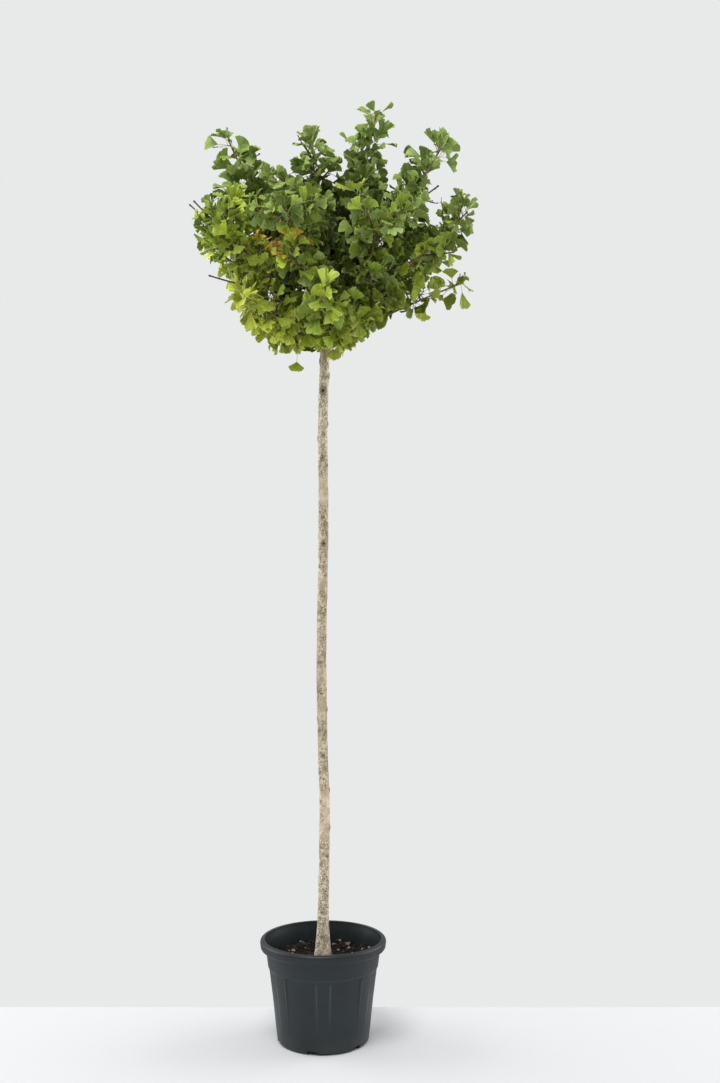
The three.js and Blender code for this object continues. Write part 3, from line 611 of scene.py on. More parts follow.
def tube_wall(first, rows, sides):
    """Quads between rings of points, which are numbered from `first` on."""
    row = first + sides * np.arange(rows - 1)[:, None]
    above = row + sides
    here = np.arange(sides)
    beside = (here + 1) % sides
    return together(row + here, row + beside, above + beside, above + here).reshape(-1, 4)


def tube_mesh(rings):
    """Closed tubes from rings of shape (tubes, rings, sides, 3) that run anticlockwise about their path.
    Each tube's points are its two end points, then its rings; its ends are fans and its wall is quads."""
    count, rows, sides, _ = rings.shape
    ends = rings[:, [0, -1]].mean(axis=2)
    points = np.concatenate([ends, rings.reshape(count, rows * sides, 3)], axis=1)
    here = np.arange(sides)
    beside = (here + 1) % sides
    last = 2 + (rows - 1) * sides
    foot = together(0, 2 + beside, 2 + here)
    tip = together(1, last + here, last + beside)
    offset = (np.arange(count) * points.shape[1])[:, None, None]
    quads = (tube_wall(2, rows, sides) + offset).reshape(-1, 4)
    fans = (np.concatenate([foot, tip]) + offset).reshape(-1, 3)
    return points.reshape(-1, 3), [quads, fans]


def tube_values(values):
    """Numbers at the points of tube_mesh, from numbers of shape (tubes, rings, sides)."""
    count, rows, sides = values.shape
    ends = values[:, [0, -1]].mean(axis=2)
    return np.concatenate([ends, values.reshape(count, rows * sides)], axis=1).ravel()


def rings_about(paths, radii, sides):
    """Rings centre + radius * (cos a * side + sin a * across) about paths of shape (tubes, rings, 3).
    Side is square to the path and to Z, or to X where the chord is steep, and across = path x side."""
    tangent = unit(np.gradient(paths, axis=1))
    chord = unit(paths[:, -1] - paths[:, 0])
    level = np.where(np.abs(chord[:, 2:3]) > 0.7, X_AXIS, Z_AXIS)[:, None]
    side = unit(np.cross(tangent, level))
    across = np.cross(tangent, side)
    angle = (TURN * np.arange(sides) / sides)[:, None]
    around = np.cos(angle) * side[:, :, None] + np.sin(angle) * across[:, :, None]
    wide = np.asarray(radii)
    wide = wide[..., None] if wide.ndim == 2 else wide
    return paths[:, :, None] + wide[..., None] * around


def joined(*meshes):
    """Several (points, polygons) sets as one."""
    points = []
    sets = []
    start = 0
    for part, polygons in meshes:
        points.append(part)
        sets.extend(faces + start for faces in polygons)
        start += len(part)
    return np.concatenate(points), sets


def placed(piece, nodes, finish):
    """A finished piece of the plant: its body, the solids that it stands for and its material."""
    piece.data.materials.append(finish)
    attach(piece, "root")
    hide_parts(*nodes)
    return piece


# ---- Materials ----


def both_ways(operation):
    """An operator's plain method, and its reflected one for a number on the wire's left."""

    def plain(self, other):
        return self.math(operation, self, other)

    def reflected(self, other):
        return self.math(operation, other, self)

    return plain, reflected


class Wire:
    """A node's output, so that sums on a surface are written as plain expressions."""

    def __init__(self, finish, socket):
        self.finish = finish
        self.socket = socket

    def math(self, operation, first, second=None):
        """A new wire: the sum of one kind on one or two values."""
        sockets = {0: first} if second is None else {0: first, 1: second}
        return self.finish.node("ShaderNodeMath", {"operation": operation}, sockets)

    __add__, __radd__ = both_ways("ADD")
    __sub__, __rsub__ = both_ways("SUBTRACT")
    __mul__, __rmul__ = both_ways("MULTIPLY")
    __truediv__, __rtruediv__ = both_ways("DIVIDE")

    def sine(self):
        """Its sine, in radians."""
        return self.math("SINE", self)

    def fraction(self):
        """What it has past a whole number."""
        return self.math("FRACT", self)

    def eased(self, low, high):
        """0 below low, 1 above high, smooth between them."""
        settings = {"interpolation_type": "SMOOTHSTEP"}
        return self.finish.node("ShaderNodeMapRange", settings, {0: self, 1: low, 2: high})

    def within(self, start, full, until, end):
        """0 outside start to end, 1 from full to until, smooth between them."""
        return self.eased(start, full) * (1 - self.eased(until, end))


class Finish:
    """A material in the making: nodes are added by `node`, and `surface` ends it."""

    def __init__(self, name):
        self.material = bpy.data.materials.new(name)
        self.material.use_nodes = True
        self.tree = self.material.node_tree
        self.tree.nodes.clear()

    def node(self, kind, settings=None, sockets=None, out=0):
        """Adds a node, sets its settings, then its sockets' values or wires, and gives one output's wire."""
        node = self.tree.nodes.new(kind)
        for key, value in (settings or {}).items():
            setattr(node, key, value)
        for key, value in (sockets or {}).items():
            if isinstance(value, Wire):
                self.tree.links.new(value.socket, node.inputs[key])
            else:
                node.inputs[key].default_value = value
        return Wire(self, node.outputs[out])

    def stretched(self, place, stretch):
        """A place scaled along each axis."""
        return self.node("ShaderNodeMapping", None, {"Vector": place, "Scale": stretch})

    def object_place(self, stretch=(1, 1, 1)):
        """Object coordinates, scaled along each axis."""
        return self.stretched(self.node("ShaderNodeTexCoord", out="Object"), stretch)

    def axis(self, place, index):
        """One of a place's three numbers."""
        return self.node("ShaderNodeSeparateXYZ", None, {0: place}, out=index)

    def noise(self, place, scale, detail=3.0, roughness=0.55):
        """Smooth noise about 0.5, with `scale` lumps to the metre."""
        sockets = {"Vector": place, "Scale": scale, "Detail": detail, "Roughness": roughness}
        return self.node("ShaderNodeTexNoise", None, sockets)

    def attribute(self, name):
        """Numbers kept at the mesh's points."""
        return self.node("ShaderNodeAttribute", {"attribute_name": name}, out="Fac")

    def mix(self, part, low, high):
        """The colour `low` turning into `high` as part goes from 0 to 1."""
        shades = {0: part}
        for key, value in ((6, low), (7, high)):
            shades[key] = value if isinstance(value, Wire) else (*value, 1)
        return self.node("ShaderNodeMix", {"data_type": "RGBA"}, shades, out=2)

    def layered(self, base, *layers):
        """A colour with others laid over it in turn, each given as (part, colour)."""
        for part, tone in layers:
            base = self.mix(part, base, tone)
        return base

    def bump(self, height, distance, strength):
        """A normal that follows a height."""
        sockets = {"Height": height, "Distance": distance, "Strength": strength}
        return self.node("ShaderNodeBump", None, sockets)

    def surface(self, base, rough, normal=None, gloss=0.5):
        """Ends the material with a shader."""
        sockets = {"Base Color": base, "Roughness": rough, "Specular IOR Level": gloss}
        if normal is not None:
            sockets["Normal"] = normal
        shader = self.node("ShaderNodeBsdfPrincipled", None, sockets)
        output = self.tree.nodes.new("ShaderNodeOutputMaterial")
        self.tree.links.new(shader.socket, output.inputs["Surface"])
        return self.material


def shade(base, factor):
    """A linear colour made darker or lighter: each part times factor, at most 1."""
    return tuple(min(1.0, part * factor) for part in base)


def blend(one, other, part):
    """A linear colour between two."""
    return tuple(lerp(a, b, part) for a, b in zip(one, other))


# Linear colours of stains and wear, and of painted highlight and painted shade, each the same whatever
# colour the piece has.
DUST = (0.14, 0.13, 0.11)
# painted highlight for the pot's rib edges, shoulder and mouth
PAINTED_HIGHLIGHT = (0.070, 0.080, 0.080)
# painted shade: near black inside the drain notches
DRAIN_PAINTED_SHADE = (0.004, 0.004, 0.004)
KHAKI = (0.40, 0.29, 0.16)
OLIVE_CLOUD = (0.22, 0.18, 0.09)
GRAFT_TAN = (0.25, 0.17, 0.07)
RUST = (0.30, 0.13, 0.03)
OLIVE_RING = (0.14, 0.11, 0.03)
PALE_PORE = (0.60, 0.55, 0.45)
PALE_UNDERSIDE = (0.42, 0.48, 0.24)
# painted highlight along the leaves' margins
PAINTED_RIM_HIGHLIGHT = (0.74, 0.76, 0.42)
VEINS_ACROSS = 236.0  # radians of veins across a blade


def pot_plastic(colours):
    """Moulded plastic with a low sheen: cloudy tone, fine grain, pale scuffs, painted highlight lines along
    the ribs' edges, the shoulder and the mouth, and painted shade inside the drains."""
    finish = Finish("pot_plastic")
    place = finish.object_place()
    cloud = finish.noise(place, 7.0, 4.0)
    scuffs = finish.noise(finish.object_place((1, 1, 0.22)), 95.0, 5.0, 0.7)
    grain = finish.noise(place, 900.0, 2.0)
    height = finish.axis(place, 2)
    base = finish.layered(
        shade(colours.pot, 0.72),
        (cloud.eased(0.3, 0.7), shade(colours.pot, 1.25)),
        (scuffs.eased(0.56, 0.80) * 0.45, shade(colours.pot, 2.4)),
        ((1 - height.eased(0.0, 0.07)) * cloud.eased(0.35, 0.65) * 0.16, DUST),
        # painted highlight lines along the ribs' edges, the shoulder and the mouth
        (finish.attribute("edge") * 0.8, PAINTED_HIGHLIGHT),
        # painted shade inside the drain notches
        (finish.attribute("hollow"), DRAIN_PAINTED_SHADE),
    )
    rough = 0.36 + 0.18 * cloud + 0.12 * scuffs.eased(0.5, 0.8)
    normal = finish.bump(grain + 0.6 * scuffs, 0.0004, 0.35)
    return finish.surface(base, rough, normal)


def potting_soil(colours):
    """Moist soil: dark crumbs with browner and blacker patches."""
    finish = Finish("potting_soil")
    place = finish.object_place()
    crumbs = finish.noise(place, 240.0, 6.0, 0.7)
    patches = finish.noise(place, 26.0, 3.0)
    base = finish.layered(
        shade(colours.soil, 0.35),
        (crumbs.eased(0.35, 0.7), shade(colours.soil, 1.35)),
        (patches.eased(0.5, 0.75) * 0.7, shade(colours.soil, 0.4)),
    )
    normal = finish.bump(crumbs, 0.004, 0.9)
    return finish.surface(base, 0.78 + 0.2 * crumbs, normal, gloss=0.15)


def loose_bits(name, base_colour):
    """Stones, chips or grit: one tone, cloudy from bit to bit."""
    finish = Finish(name)
    place = finish.object_place()
    tone = finish.noise(place, 62.0, 2.0)
    fine = finish.noise(place, 700.0, 3.0)
    base = finish.layered(
        shade(base_colour, 0.3),
        (tone.eased(0.35, 0.65), shade(base_colour, 1.15)),
        (fine.eased(0.45, 0.75) * 0.5, shade(base_colour, 0.6)),
    )
    return finish.surface(base, 0.75 + 0.2 * tone, finish.bump(fine, 0.0006, 0.7))


def stem_bark(colours):
    """Light bark: pale plates in a fine brown net, with dark flecks, olive and tan clouds, and knots with
    dark rings. Painted light lifts the bark at the top, where the crown shades it, and at the foot, where
    the pot shades it; the bark is darker and more khaki over the middle heights, and darker at the very
    foot. The net is the distance to the edges of small cells, on a place that noise has moved."""
    finish = Finish("stem_bark")
    place = finish.object_place()
    tall = finish.object_place((1, 1, 0.72))
    moved = finish.noise(tall, 45.0, 3.0)
    warped = finish.node(
        "ShaderNodeVectorMath", {"operation": "MULTIPLY_ADD"}, {0: moved, 1: (0.02,) * 3, 2: tall}
    )
    cells = finish.node(
        "ShaderNodeTexVoronoi", {"feature": "DISTANCE_TO_EDGE"}, {"Vector": warped, "Scale": 150.0}
    )
    broken = finish.noise(tall, 85.0, 2.0)
    flecks = finish.noise(tall, 330.0, 3.0, 0.6)
    specks = finish.noise(tall, 200.0, 2.0)
    clouds = finish.noise(place, 34.0, 3.0, 0.6)
    broad = finish.noise(place, 9.0, 2.0)
    fine = finish.noise(tall, 900.0, 3.0, 0.6)
    height = finish.axis(place, 2)
    crack = finish.attribute("crack")
    # painted light over the stem's top and foot, where the crown and the pot shade it; it also fills in the
    # net of cracks there
    painted_light_zone = height.within(*PAINTED_LIGHT_TOP) + 0.7 * (1 - height.eased(*PAINTED_LIGHT_FOOT))
    patchy = broad.eased(0.36, 0.56)
    netted = patchy + (1 - patchy) * painted_light_zone * 0.8
    net = (1 - cells.eased(0.0, 0.20)) * (0.25 + 0.75 * netted) * broken.eased(0.36, 0.56)
    apart = finish.node("ShaderNodeVectorMath", {"operation": "DISTANCE"}, {0: place, 1: RUST_SPOT}, out=1)
    khaki = blend(colours.bark, KHAKI, 0.5)
    brown = colours.bark_brown
    base = finish.layered(
        shade(colours.bark, 1.12),
        (clouds.eased(0.38, 0.66), khaki),
        # painted light at the shaded top and foot
        (painted_light_zone * 0.75, shade(colours.bark, 1.3)),
        # darker and more khaki over the middle heights
        (height.within(*KHAKI_MIDDLE) * 0.30, shade(khaki, 0.75)),
        (clouds.eased(0.60, 0.78) * patchy * (1 - painted_light_zone) * 0.6, OLIVE_CLOUD),
        (net * 0.8, shade(brown, 0.75)),
        (specks.eased(0.56, 0.68) * (0.2 + 0.6 * netted), shade(brown, 0.5)),
        (crack * 0.25, brown),
        (flecks.eased(0.57, 0.68) * (0.3 + 0.6 * netted), shade(brown, 0.5)),
        (height.eased(*GRAFT_BROWN) * clouds.eased(0.30, 0.55) * 0.8, GRAFT_TAN),
        ((1 - apart.eased(*RUST_RADII)) * flecks.eased(0.3, 0.55) * 0.8, RUST),
        # darker at the very foot of the stem
        ((1 - height.eased(*DARK_FOOT)) * 0.5, shade(brown, 0.8)),
        (finish.attribute("ring") * 0.65, OLIVE_RING),
        (finish.attribute("knot"), shade(colours.knot, 0.6)),
    )
    rough = 0.70 + 0.22 * crack
    normal = finish.bump(flecks * 0.6 + fine * 0.35 - net, 0.0014, 0.9)
    return finish.surface(base, rough, normal, gloss=0.2)


def young_bark(name, base_colour, ring_size):
    """Bark of boughs and twigs: grey-brown streaks and pale pores."""
    finish = Finish(name)
    place = finish.object_place()
    streaks = finish.noise(place, ring_size, 4.0, 0.65)
    pores = finish.noise(place, 1100.0, 2.0)
    base = finish.layered(
        shade(base_colour, 0.62),
        (streaks.eased(0.35, 0.68), shade(base_colour, 1.25)),
        (pores.eased(0.62, 0.72) * 0.5, blend(base_colour, PALE_PORE, 0.5)),
    )
    normal = finish.bump(streaks, 0.0008, 0.6)
    return finish.surface(base, 0.66 + 0.2 * streaks, normal)


def leaf_skin(name, tint, colours):
    """A fan leaf: veins that spread from its stalk, broad stripes of painted sheen along its pleats, a pale
    margin that is a painted highlight, and a paler underside. The pattern depends only on the leaf's own
    flat map: upper side in the left half, underside in the right, and in each of TONES rows a lighter or
    darker leaf, from its stalk at the bottom to its margin at the top. The darker rows are painted shade for
    leaves deep in the crown, besides random tone and brown among the gold leaves."""
    finish = Finish(name)
    flat = finish.node("ShaderNodeUVMap", {"uv_map": BAKE_MAP})
    across = finish.axis(flat, 0)
    up = finish.axis(flat, 1) * TONES
    out = up.fraction()
    tone = (up - out) / (TONES - 1)
    under = across.eased(0.499, 0.501)
    veins = ((across * 2).fraction() * VEINS_ACROSS).sine() * 0.5 + 0.5
    stripes = finish.noise(finish.stretched(flat, (12, TONES * 0.5, 1)), 3.0, 3.0)
    cloud = finish.noise(finish.stretched(flat, (2, TONES, 1)), 3.0, 3.0)
    upper = finish.layered(
        shade(tint, 0.86),
        (veins * 0.5, shade(tint, 1.32)),
        # painted sheen: lighter stripes along the pleats
        (stripes.eased(0.42, 0.66) * 0.65, shade(tint, 1.7)),
        (cloud.eased(0.5, 0.75) * 0.45, shade(tint, 0.6)),
        ((1 - out.eased(0.20, 0.75)) * 0.5, shade(tint, 0.48)),
    )
    pale = blend(shade(tint, 1.22), PALE_UNDERSIDE, 0.16)
    lower = finish.layered(
        shade(pale, 0.84),
        (veins * 0.6, shade(pale, 1.12)),
        # painted sheen along the pleats of the underside
        (stripes.eased(0.42, 0.66) * 0.5, shade(pale, 1.3)),
    )
    base = finish.layered(
        finish.mix(under, upper, lower),
        # darker rows: painted shade for leaves deep in the crown, with random tone, and brown gold leaves
        (tone * 0.85, shade(tint, 0.32)),
        # painted highlight along the margin
        (out.eased(0.90, 0.985) * 0.7, blend(shade(tint, 1.5), PAINTED_RIM_HIGHLIGHT, 0.34)),
        (1 - out.eased(0.085, 0.17), colours.stalk),
    )
    rough = 0.43 + 0.10 * veins + 0.14 * under
    normal = finish.bump(veins * 0.4 + stripes, 0.0016, 0.6)
    return finish.surface(base, rough, normal, gloss=0.34)


def floor_paint(stage):
    """A pale matt floor with faint clouds."""
    finish = Finish("floor_paint")
    cloud = finish.noise(finish.object_place(), 2.2, 3.0)
    base = finish.mix(cloud, shade(stage.floor, 0.985), stage.floor)
    return finish.surface(base, 0.9, gloss=0.1)


# ---- Pot and soil ----


def arc(middle, radius, start, end, steps):
    """Points middle + radius * (cos a, sin a) of a profile, a from start to end in degrees."""
    angle = np.radians(np.linspace(start, end, steps))
    return together(middle[0] + radius * np.cos(angle), middle[1] + radius * np.sin(angle))


def line(start, end, steps):
    """Points of a profile from start up to, but not at, end."""
    return lerp(np.array(start, float), np.array(end, float), np.arange(steps)[:, None] / steps)


def wall_radius(height):
    """Of the outside of the pot's wall."""
    return FOOT_RADIUS + WALL_FLARE * height


def recess(bearing, height, sizes):
    """How far the wall is pressed in: recess * (height share of the panel) * mask, where the mask rises and
    falls between the ribs' edges, and the panel ends in a rounded shoulder under the collar."""
    bottom, top = PANEL_HEIGHTS
    pitch = TURN / sizes.rib_count
    offset = (bearing - RIB_BEARING) % pitch
    mask = eased(offset, *RIB_EDGES[:2]) * (1 - eased(offset, *RIB_EDGES[2:]))
    ramp = np.clip((height - bottom) / (top - bottom), 0, 1)
    shoulder = 1 - eased(height, top - PANEL_SHOULDER, COLLAR_BOTTOM)
    return sizes.panel_recess * mask * ramp * shoulder


def pot_profile(sizes):
    """The (radius, height) rows of the pot: underside, foot, wall, lip, mouth, and back down the inside."""
    low_corner, high_corner = LIP_CORNERS
    top = sizes.height
    lip = sizes.lip_radius
    lip_foot = lip - LIP_LEAN
    lip_bottom = top - LIP_DEPTH
    under_lip = wall_radius(lip_bottom)
    mouth = MOUTH_RADIUS + MOUTH_CORNER
    ring = UNDERSIDE_RADIUS - FOOT_RING
    inner_foot = UNDERSIDE_RADIUS - sizes.wall
    close_from, close_to = CLOSE_ROWS

    def wall(low, high, steps):
        return line((wall_radius(low), low), (wall_radius(high), high), steps)

    parts = [
        line((FLOOR_HUB, UNDERSIDE_LIFT), (ring, UNDERSIDE_LIFT), 4),
        line((ring, 0.0), (UNDERSIDE_RADIUS, 0.0), 2),
        line((UNDERSIDE_RADIUS, 0.0), (wall_radius(FOOT_CHAMFER), FOOT_CHAMFER), 4),
        wall(FOOT_CHAMFER, DRAIN_HEIGHT - DRAIN_STEP, 3),
        wall(DRAIN_HEIGHT - DRAIN_STEP, DRAIN_HEIGHT, 1),
        wall(DRAIN_HEIGHT, close_from, 34),
        wall(close_from, close_to, 11),
        wall(close_to, lip_bottom, 8),
        arc((under_lip + UNDER_LIP, lip_bottom - UNDER_LIP), UNDER_LIP, 180, 90, 4),
        line((under_lip + UNDER_LIP + PAST_ARC, lip_bottom), (lip_foot - low_corner, lip_bottom), 3),
        arc((lip_foot - low_corner, lip_bottom + low_corner), low_corner, -90, 0, 5),
        line((lip_foot, lip_bottom + low_corner + PAST_ARC), (lip, top - high_corner), 4),
        arc((lip - high_corner, top - high_corner), high_corner, 0, 90, 8),
        line((lip - high_corner - PAST_ARC, top), (mouth, top), 3),
        arc((mouth, top - MOUTH_CORNER), MOUTH_CORNER, 90, 180, 5),
        line((MOUTH_RADIUS, top - MOUTH_CORNER - 2 * PAST_ARC), (under_lip - sizes.wall, lip_bottom), 6),
        together(wall_radius(INNER_HEIGHTS) - sizes.wall, INNER_HEIGHTS),
        line((inner_foot, sizes.wall), (FLOOR_HUB, sizes.wall), 4),
    ]
    return np.concatenate(parts)


def pot_bearings(sizes):
    """Even columns round the pot, with a close pair at each side of every drain notch."""
    columns = sizes.rib_count * COLUMNS_A_RIB
    even = np.arange(columns) * TURN / columns
    middles = DRAIN_BEARING + np.arange(DRAIN_COUNT) * TURN / DRAIN_COUNT
    sides = np.add.outer(middles, [-DRAIN_HALF_ANGLE, DRAIN_HALF_ANGLE]).ravel()
    pairs = np.add.outer(sides, [-DRAIN_SIDE, DRAIN_SIDE]).ravel() % TURN
    clear = np.abs((even[:, None] - sides + math.pi) % TURN - math.pi).min(axis=1) > DRAIN_CLEAR
    return np.sort(np.concatenate([even[clear], pairs]))


def pot_surface(sizes):
    """The profile turned about Z: ((r - recess) cos b, (r - recess) sin b, z), with the foot set in at the
    drains. Also gives where it is hollow, for painted shade in the drain notches, and where highlight lines
    are painted."""
    profile = pot_profile(sizes)
    bearing = pot_bearings(sizes)[None, :]
    radius = profile[:, 0:1]
    height = profile[:, 1:2]
    half_pitch = math.pi / DRAIN_COUNT
    from_drain = (bearing - DRAIN_BEARING + half_pitch) % (TURN / DRAIN_COUNT) - half_pitch
    outside = (np.arange(len(profile)) < np.argmax(profile[:, 0]))[:, None]
    below = height < DRAIN_HEIGHT - DRAIN_STEP / 2
    notch = outside & (np.abs(from_drain) < DRAIN_HALF_ANGLE) & below
    out = np.where(notch, np.minimum(radius, DRAIN_RADIUS), radius - recess(bearing, height, sizes))
    rings = together(out * np.cos(bearing), out * np.sin(bearing), height)
    offset = (bearing - RIB_BEARING) % (TURN / sizes.rib_count)
    # where highlight lines are painted: along the ribs' edges, the shoulder and the mouth
    ribs = bell(offset - RIB_EDGES[0], PAINTED_HIGHLIGHT_LINES.rib) + bell(offset - RIB_EDGES[3], PAINTED_HIGHLIGHT_LINES.rib)
    ribs = ribs * eased(height, *PAINTED_HIGHLIGHT_LINES.starts) * (1 - eased(height, *PAINTED_HIGHLIGHT_LINES.ends)) * outside
    shoulder = bell(height - COLLAR_BOTTOM, PAINTED_HIGHLIGHT_LINES.line) * outside
    mouth = bell(radius - MOUTH_RADIUS - PAINTED_HIGHLIGHT_LINES.mouth, PAINTED_HIGHLIGHT_LINES.line) * (height > sizes.height - PAINTED_HIGHLIGHT_LINES.mouth)
    return rings[None], notch.astype(float)[None], (ribs + PAINTED_HIGHLIGHT_LINES.shoulder * shoulder + mouth)[None]


def soil_bank(radius):
    """How much higher the soil lies at a distance from the stem."""
    return SOIL_BANK[0] * eased(radius, *SOIL_BANK[1:])


def soil_surface(sizes):
    """A plug of soil: its wall follows the pot's, and its top is bank + relief * noise over rings about the
    stem."""
    radius = wall_radius(sizes.soil_height) - SOIL_GAP
    bearing = TURN * np.arange(SOIL_COLUMNS) / SOIL_COLUMNS
    wall = np.array(
        [
            (FLOOR_HUB, SOIL_GAP),
            (UNDERSIDE_RADIUS - SOIL_GAP, SOIL_GAP),
            (wall_radius(PANEL_HEIGHTS[0]) - SOIL_GAP, PANEL_HEIGHTS[0]),
            (wall_radius(PANEL_HEIGHTS[1]) - sizes.panel_recess - SOIL_GAP, PANEL_HEIGHTS[1]),
            (wall_radius(COLLAR_BOTTOM) - SOIL_GAP, COLLAR_BOTTOM),
        ]
    )
    top_radius = np.linspace(radius, SOIL_HUB, SOIL_RINGS)
    top = together(top_radius, sizes.soil_height - sizes.soil_relief)
    profile = np.concatenate([wall, top])
    x = profile[:, 0:1] * np.cos(bearing)
    y = profile[:, 0:1] * np.sin(bearing)
    lumps = sum(
        weight * cell_noise(x / size + shift, y / size + shift, wrap, seed)
        for weight, size, shift, wrap, seed in SOIL_LUMPS
    )
    on_top = (np.arange(len(profile)) > len(wall))[:, None]
    bank = np.where(np.arange(len(profile)) >= len(wall), soil_bank(profile[:, 0]), 0)[:, None]
    z = profile[:, 1:2] + bank + np.where(on_top, sizes.soil_relief * lumps, 0)
    return together(x, y, z)[None]


def stone_shape():
    """The twelve corners (0, 1, g) of an even solid with g = (1 + sqrt 5) / 2, in all turns and signs, and
    its twenty faces: all sets of three corners that lie 2 apart, taken outwards."""
    golden = (1 + math.sqrt(5)) / 2
    first = [(0, a, b * golden) for a in (-1, 1) for b in (-1, 1)]
    corners = np.array([np.roll(corner, turn) for turn in range(3) for corner in first])
    near = np.isclose(np.linalg.norm(corners[:, None] - corners, axis=-1), 2)
    a, b, c = (index.ravel() for index in np.meshgrid(*[np.arange(len(corners))] * 3, indexing="ij"))
    face = near[a, b] & near[b, c] & near[c, a] & (a < b) & (a < c)
    a, b, c = a[face], b[face], c[face]
    facing = (np.cross(corners[b] - corners[a], corners[c] - corners[a]) * corners[a]).sum(axis=-1) > 0
    return corners / np.linalg.norm(corners[0]), together(a, b, c)[facing]


def scattered_bits(shape, count, size, flatness, sizes, seed):
    """Small bits: corners * size * (random part) turned by a random angle, lying on rings about the stem
    with r = sqrt(lerp(inner^2, outer^2, random)), so that they are even over the soil."""
    rng = np.random.default_rng(seed)
    shape_corners, shape_faces = shape
    outer = wall_radius(sizes.soil_height) - SOIL_GAP - BITS.off_wall
    radius = np.sqrt(lerp(BITS.inner**2, outer**2, rng.random(count)))
    bearing = TURN * rng.random(count)
    scale = size * np.exp(rng.normal(0, BITS.spread, count))
    uneven = rng.uniform(*BITS.uneven, (count, len(shape_corners), 1))
    corners = shape_corners * uneven * scale[:, None, None] / 2
    corners = corners + rng.normal(0, BITS.rough, corners.shape) * scale[:, None, None]
    corners[..., 2] *= flatness
    tilt = rng.uniform(-BITS.lean, BITS.lean, (count, 1))
    spin = TURN * rng.random((count, 1))
    y, z = corners[..., 1], corners[..., 2]
    y, z = y * np.cos(tilt) - z * np.sin(tilt), y * np.sin(tilt) + z * np.cos(tilt)
    x = corners[..., 0] * np.cos(spin) - y * np.sin(spin) + (radius * np.cos(bearing))[:, None]
    y = corners[..., 0] * np.sin(spin) + y * np.cos(spin) + (radius * np.sin(bearing))[:, None]
    lift = sizes.soil_height + soil_bank(radius) - BITS.sunk * sizes.soil_relief + BITS.stand * scale
    points = together(x, y, z + lift[:, None])
    faces = shape_faces + len(shape_corners) * np.arange(count)[:, None, None]
    return points.reshape(-1, 3), [faces.reshape(-1, 3)]


# ---- Stem ----


def sway(values, part):
    """A smooth curve through even values: the cubic
    b + t / 2 * (c - a + t * (2a - 5b + 4c - d + t * (3b - a - 3c + d))) between b and c, with its ends
    carried on straight."""
    padded = np.concatenate([[2 * values[0] - values[1]], values, [2 * values[-1] - values[-2]]])
    steps = len(values) - 1
    step = np.clip((part * steps).astype(int), 0, steps - 1)
    t = part * steps - step
    a, b, c, d = (padded[step + k] for k in range(4))
    return b + t / 2 * (c - a + t * (2 * a - 5 * b + 4 * c - d + t * (3 * b - a - 3 * c + d)))


def stem_centre(height):
    """The middle of the stem at each height; above the graft it runs straight up."""
    part = np.clip((height - STEM_FOOT) / (GRAFT_HEIGHT - STEM_FOOT), 0, 1)
    return together(sway(STEM_SWAY_X, part), sway(STEM_SWAY_Y, part), height)


def stem_radius(height, bearing, sizes):
    """Shaft + taper * exp(-h / l) + flare * exp(-h / l), lobed at the roots, swollen at the graft, and drawn
    in evenly from there to the top of the head."""
    above = np.maximum(0, height - STEM_FOOT)
    over_graft = np.maximum(0, height - GRAFT_HEIGHT) / (TRUNK_TOP - GRAFT_HEIGHT)
    shaft = sizes.radius + STEM_TAPER[0] * np.exp(-above / STEM_TAPER[1])
    fade = np.exp(-above / ROOT_FLARE[1])
    lobes = 1 + FLARE_LOBES[1] * np.cos(FLARE_LOBES[0] * bearing) * fade
    swell = GRAFT_SWELL[0] * bell(height - GRAFT_HEIGHT, GRAFT_SWELL[1])
    return lerp(shaft + ROOT_FLARE[0] * fade, sizes.head_radius, over_graft) * lobes + swell


def stem_noise(turns, height, cells, size, seed, shift=0.0):
    """Noise over the bark, with so many cells round the stem, each of one height."""
    return cell_noise(turns * cells + shift, height / size + shift, cells, seed)


def net_of_cracks(turns, height):
    """1 along the middle of cracks, 0 on the plates between: 1 - |2n - 1| / w for nets of upright cells, in
    patches that are SHALLOWEST to 1 as deep."""
    warp = CRACK_WARP * stem_noise(turns, height, *WARP_CELLS)
    nets = [
        depth * np.clip(1 - np.abs(2 * stem_noise(turns, height, cells, size, seed, warp) - 1) / width, 0, 1)
        for cells, size, seed, width, depth in CRACK_NETS
    ]
    patchy = eased(stem_noise(turns, height, *PATCH_CELLS), *CRACK_PATCHES)
    return np.maximum(*nets) * lerp(SHALLOWEST, 1, patchy)


def trunk_surface(sizes):
    """Rings about the stem's middle with radius stem_radius + lumps - cracks + knots, where a knot is
    out * exp(-(d / r)^2) less a tighter dimple, and d is the distance over the bark. Also gives the cracks,
    the knots' dark middles and their rings."""
    height = np.linspace(STEM_FOOT - STEM_SUNK, TRUNK_TOP, STEM_ROWS)[:, None]
    turns = np.arange(STEM_COLUMNS)[None, :] / STEM_COLUMNS
    bearing = TURN * turns
    radius = stem_radius(height, bearing, sizes)
    crack = net_of_cracks(turns, height)
    lumps = sum(weight * stem_noise(turns, height, *cells) for weight, *cells in BARK_LUMPS)
    out = radius + sizes.lump_height * (lumps - LUMP_MIDDLE) * LUMP_CONTRAST - sizes.crack_depth * crack
    dark = np.zeros_like(out)
    ring = np.zeros_like(out)
    for knot_height, degrees, size, stand, darkness in KNOTS:
        around = (bearing - math.radians(degrees) + math.pi) % TURN - math.pi
        apart = np.hypot(around * radius / size, (height - knot_height) / (KNOT.tall * size))
        out = out + stand * (bell(apart) - KNOT.dimple * bell(KNOT.tight * apart))
        dark = np.maximum(dark, darkness * np.exp(-((KNOT.dark * apart) ** 4)))
        ring = np.maximum(ring, darkness * bell(apart - KNOT.ring, KNOT.ring_width))
    centre = stem_centre(height[:, 0])[:, None]
    around = together(np.cos(bearing), np.sin(bearing), 0)
    return (centre + out[..., None] * around)[None], crack[None], dark[None], ring[None]


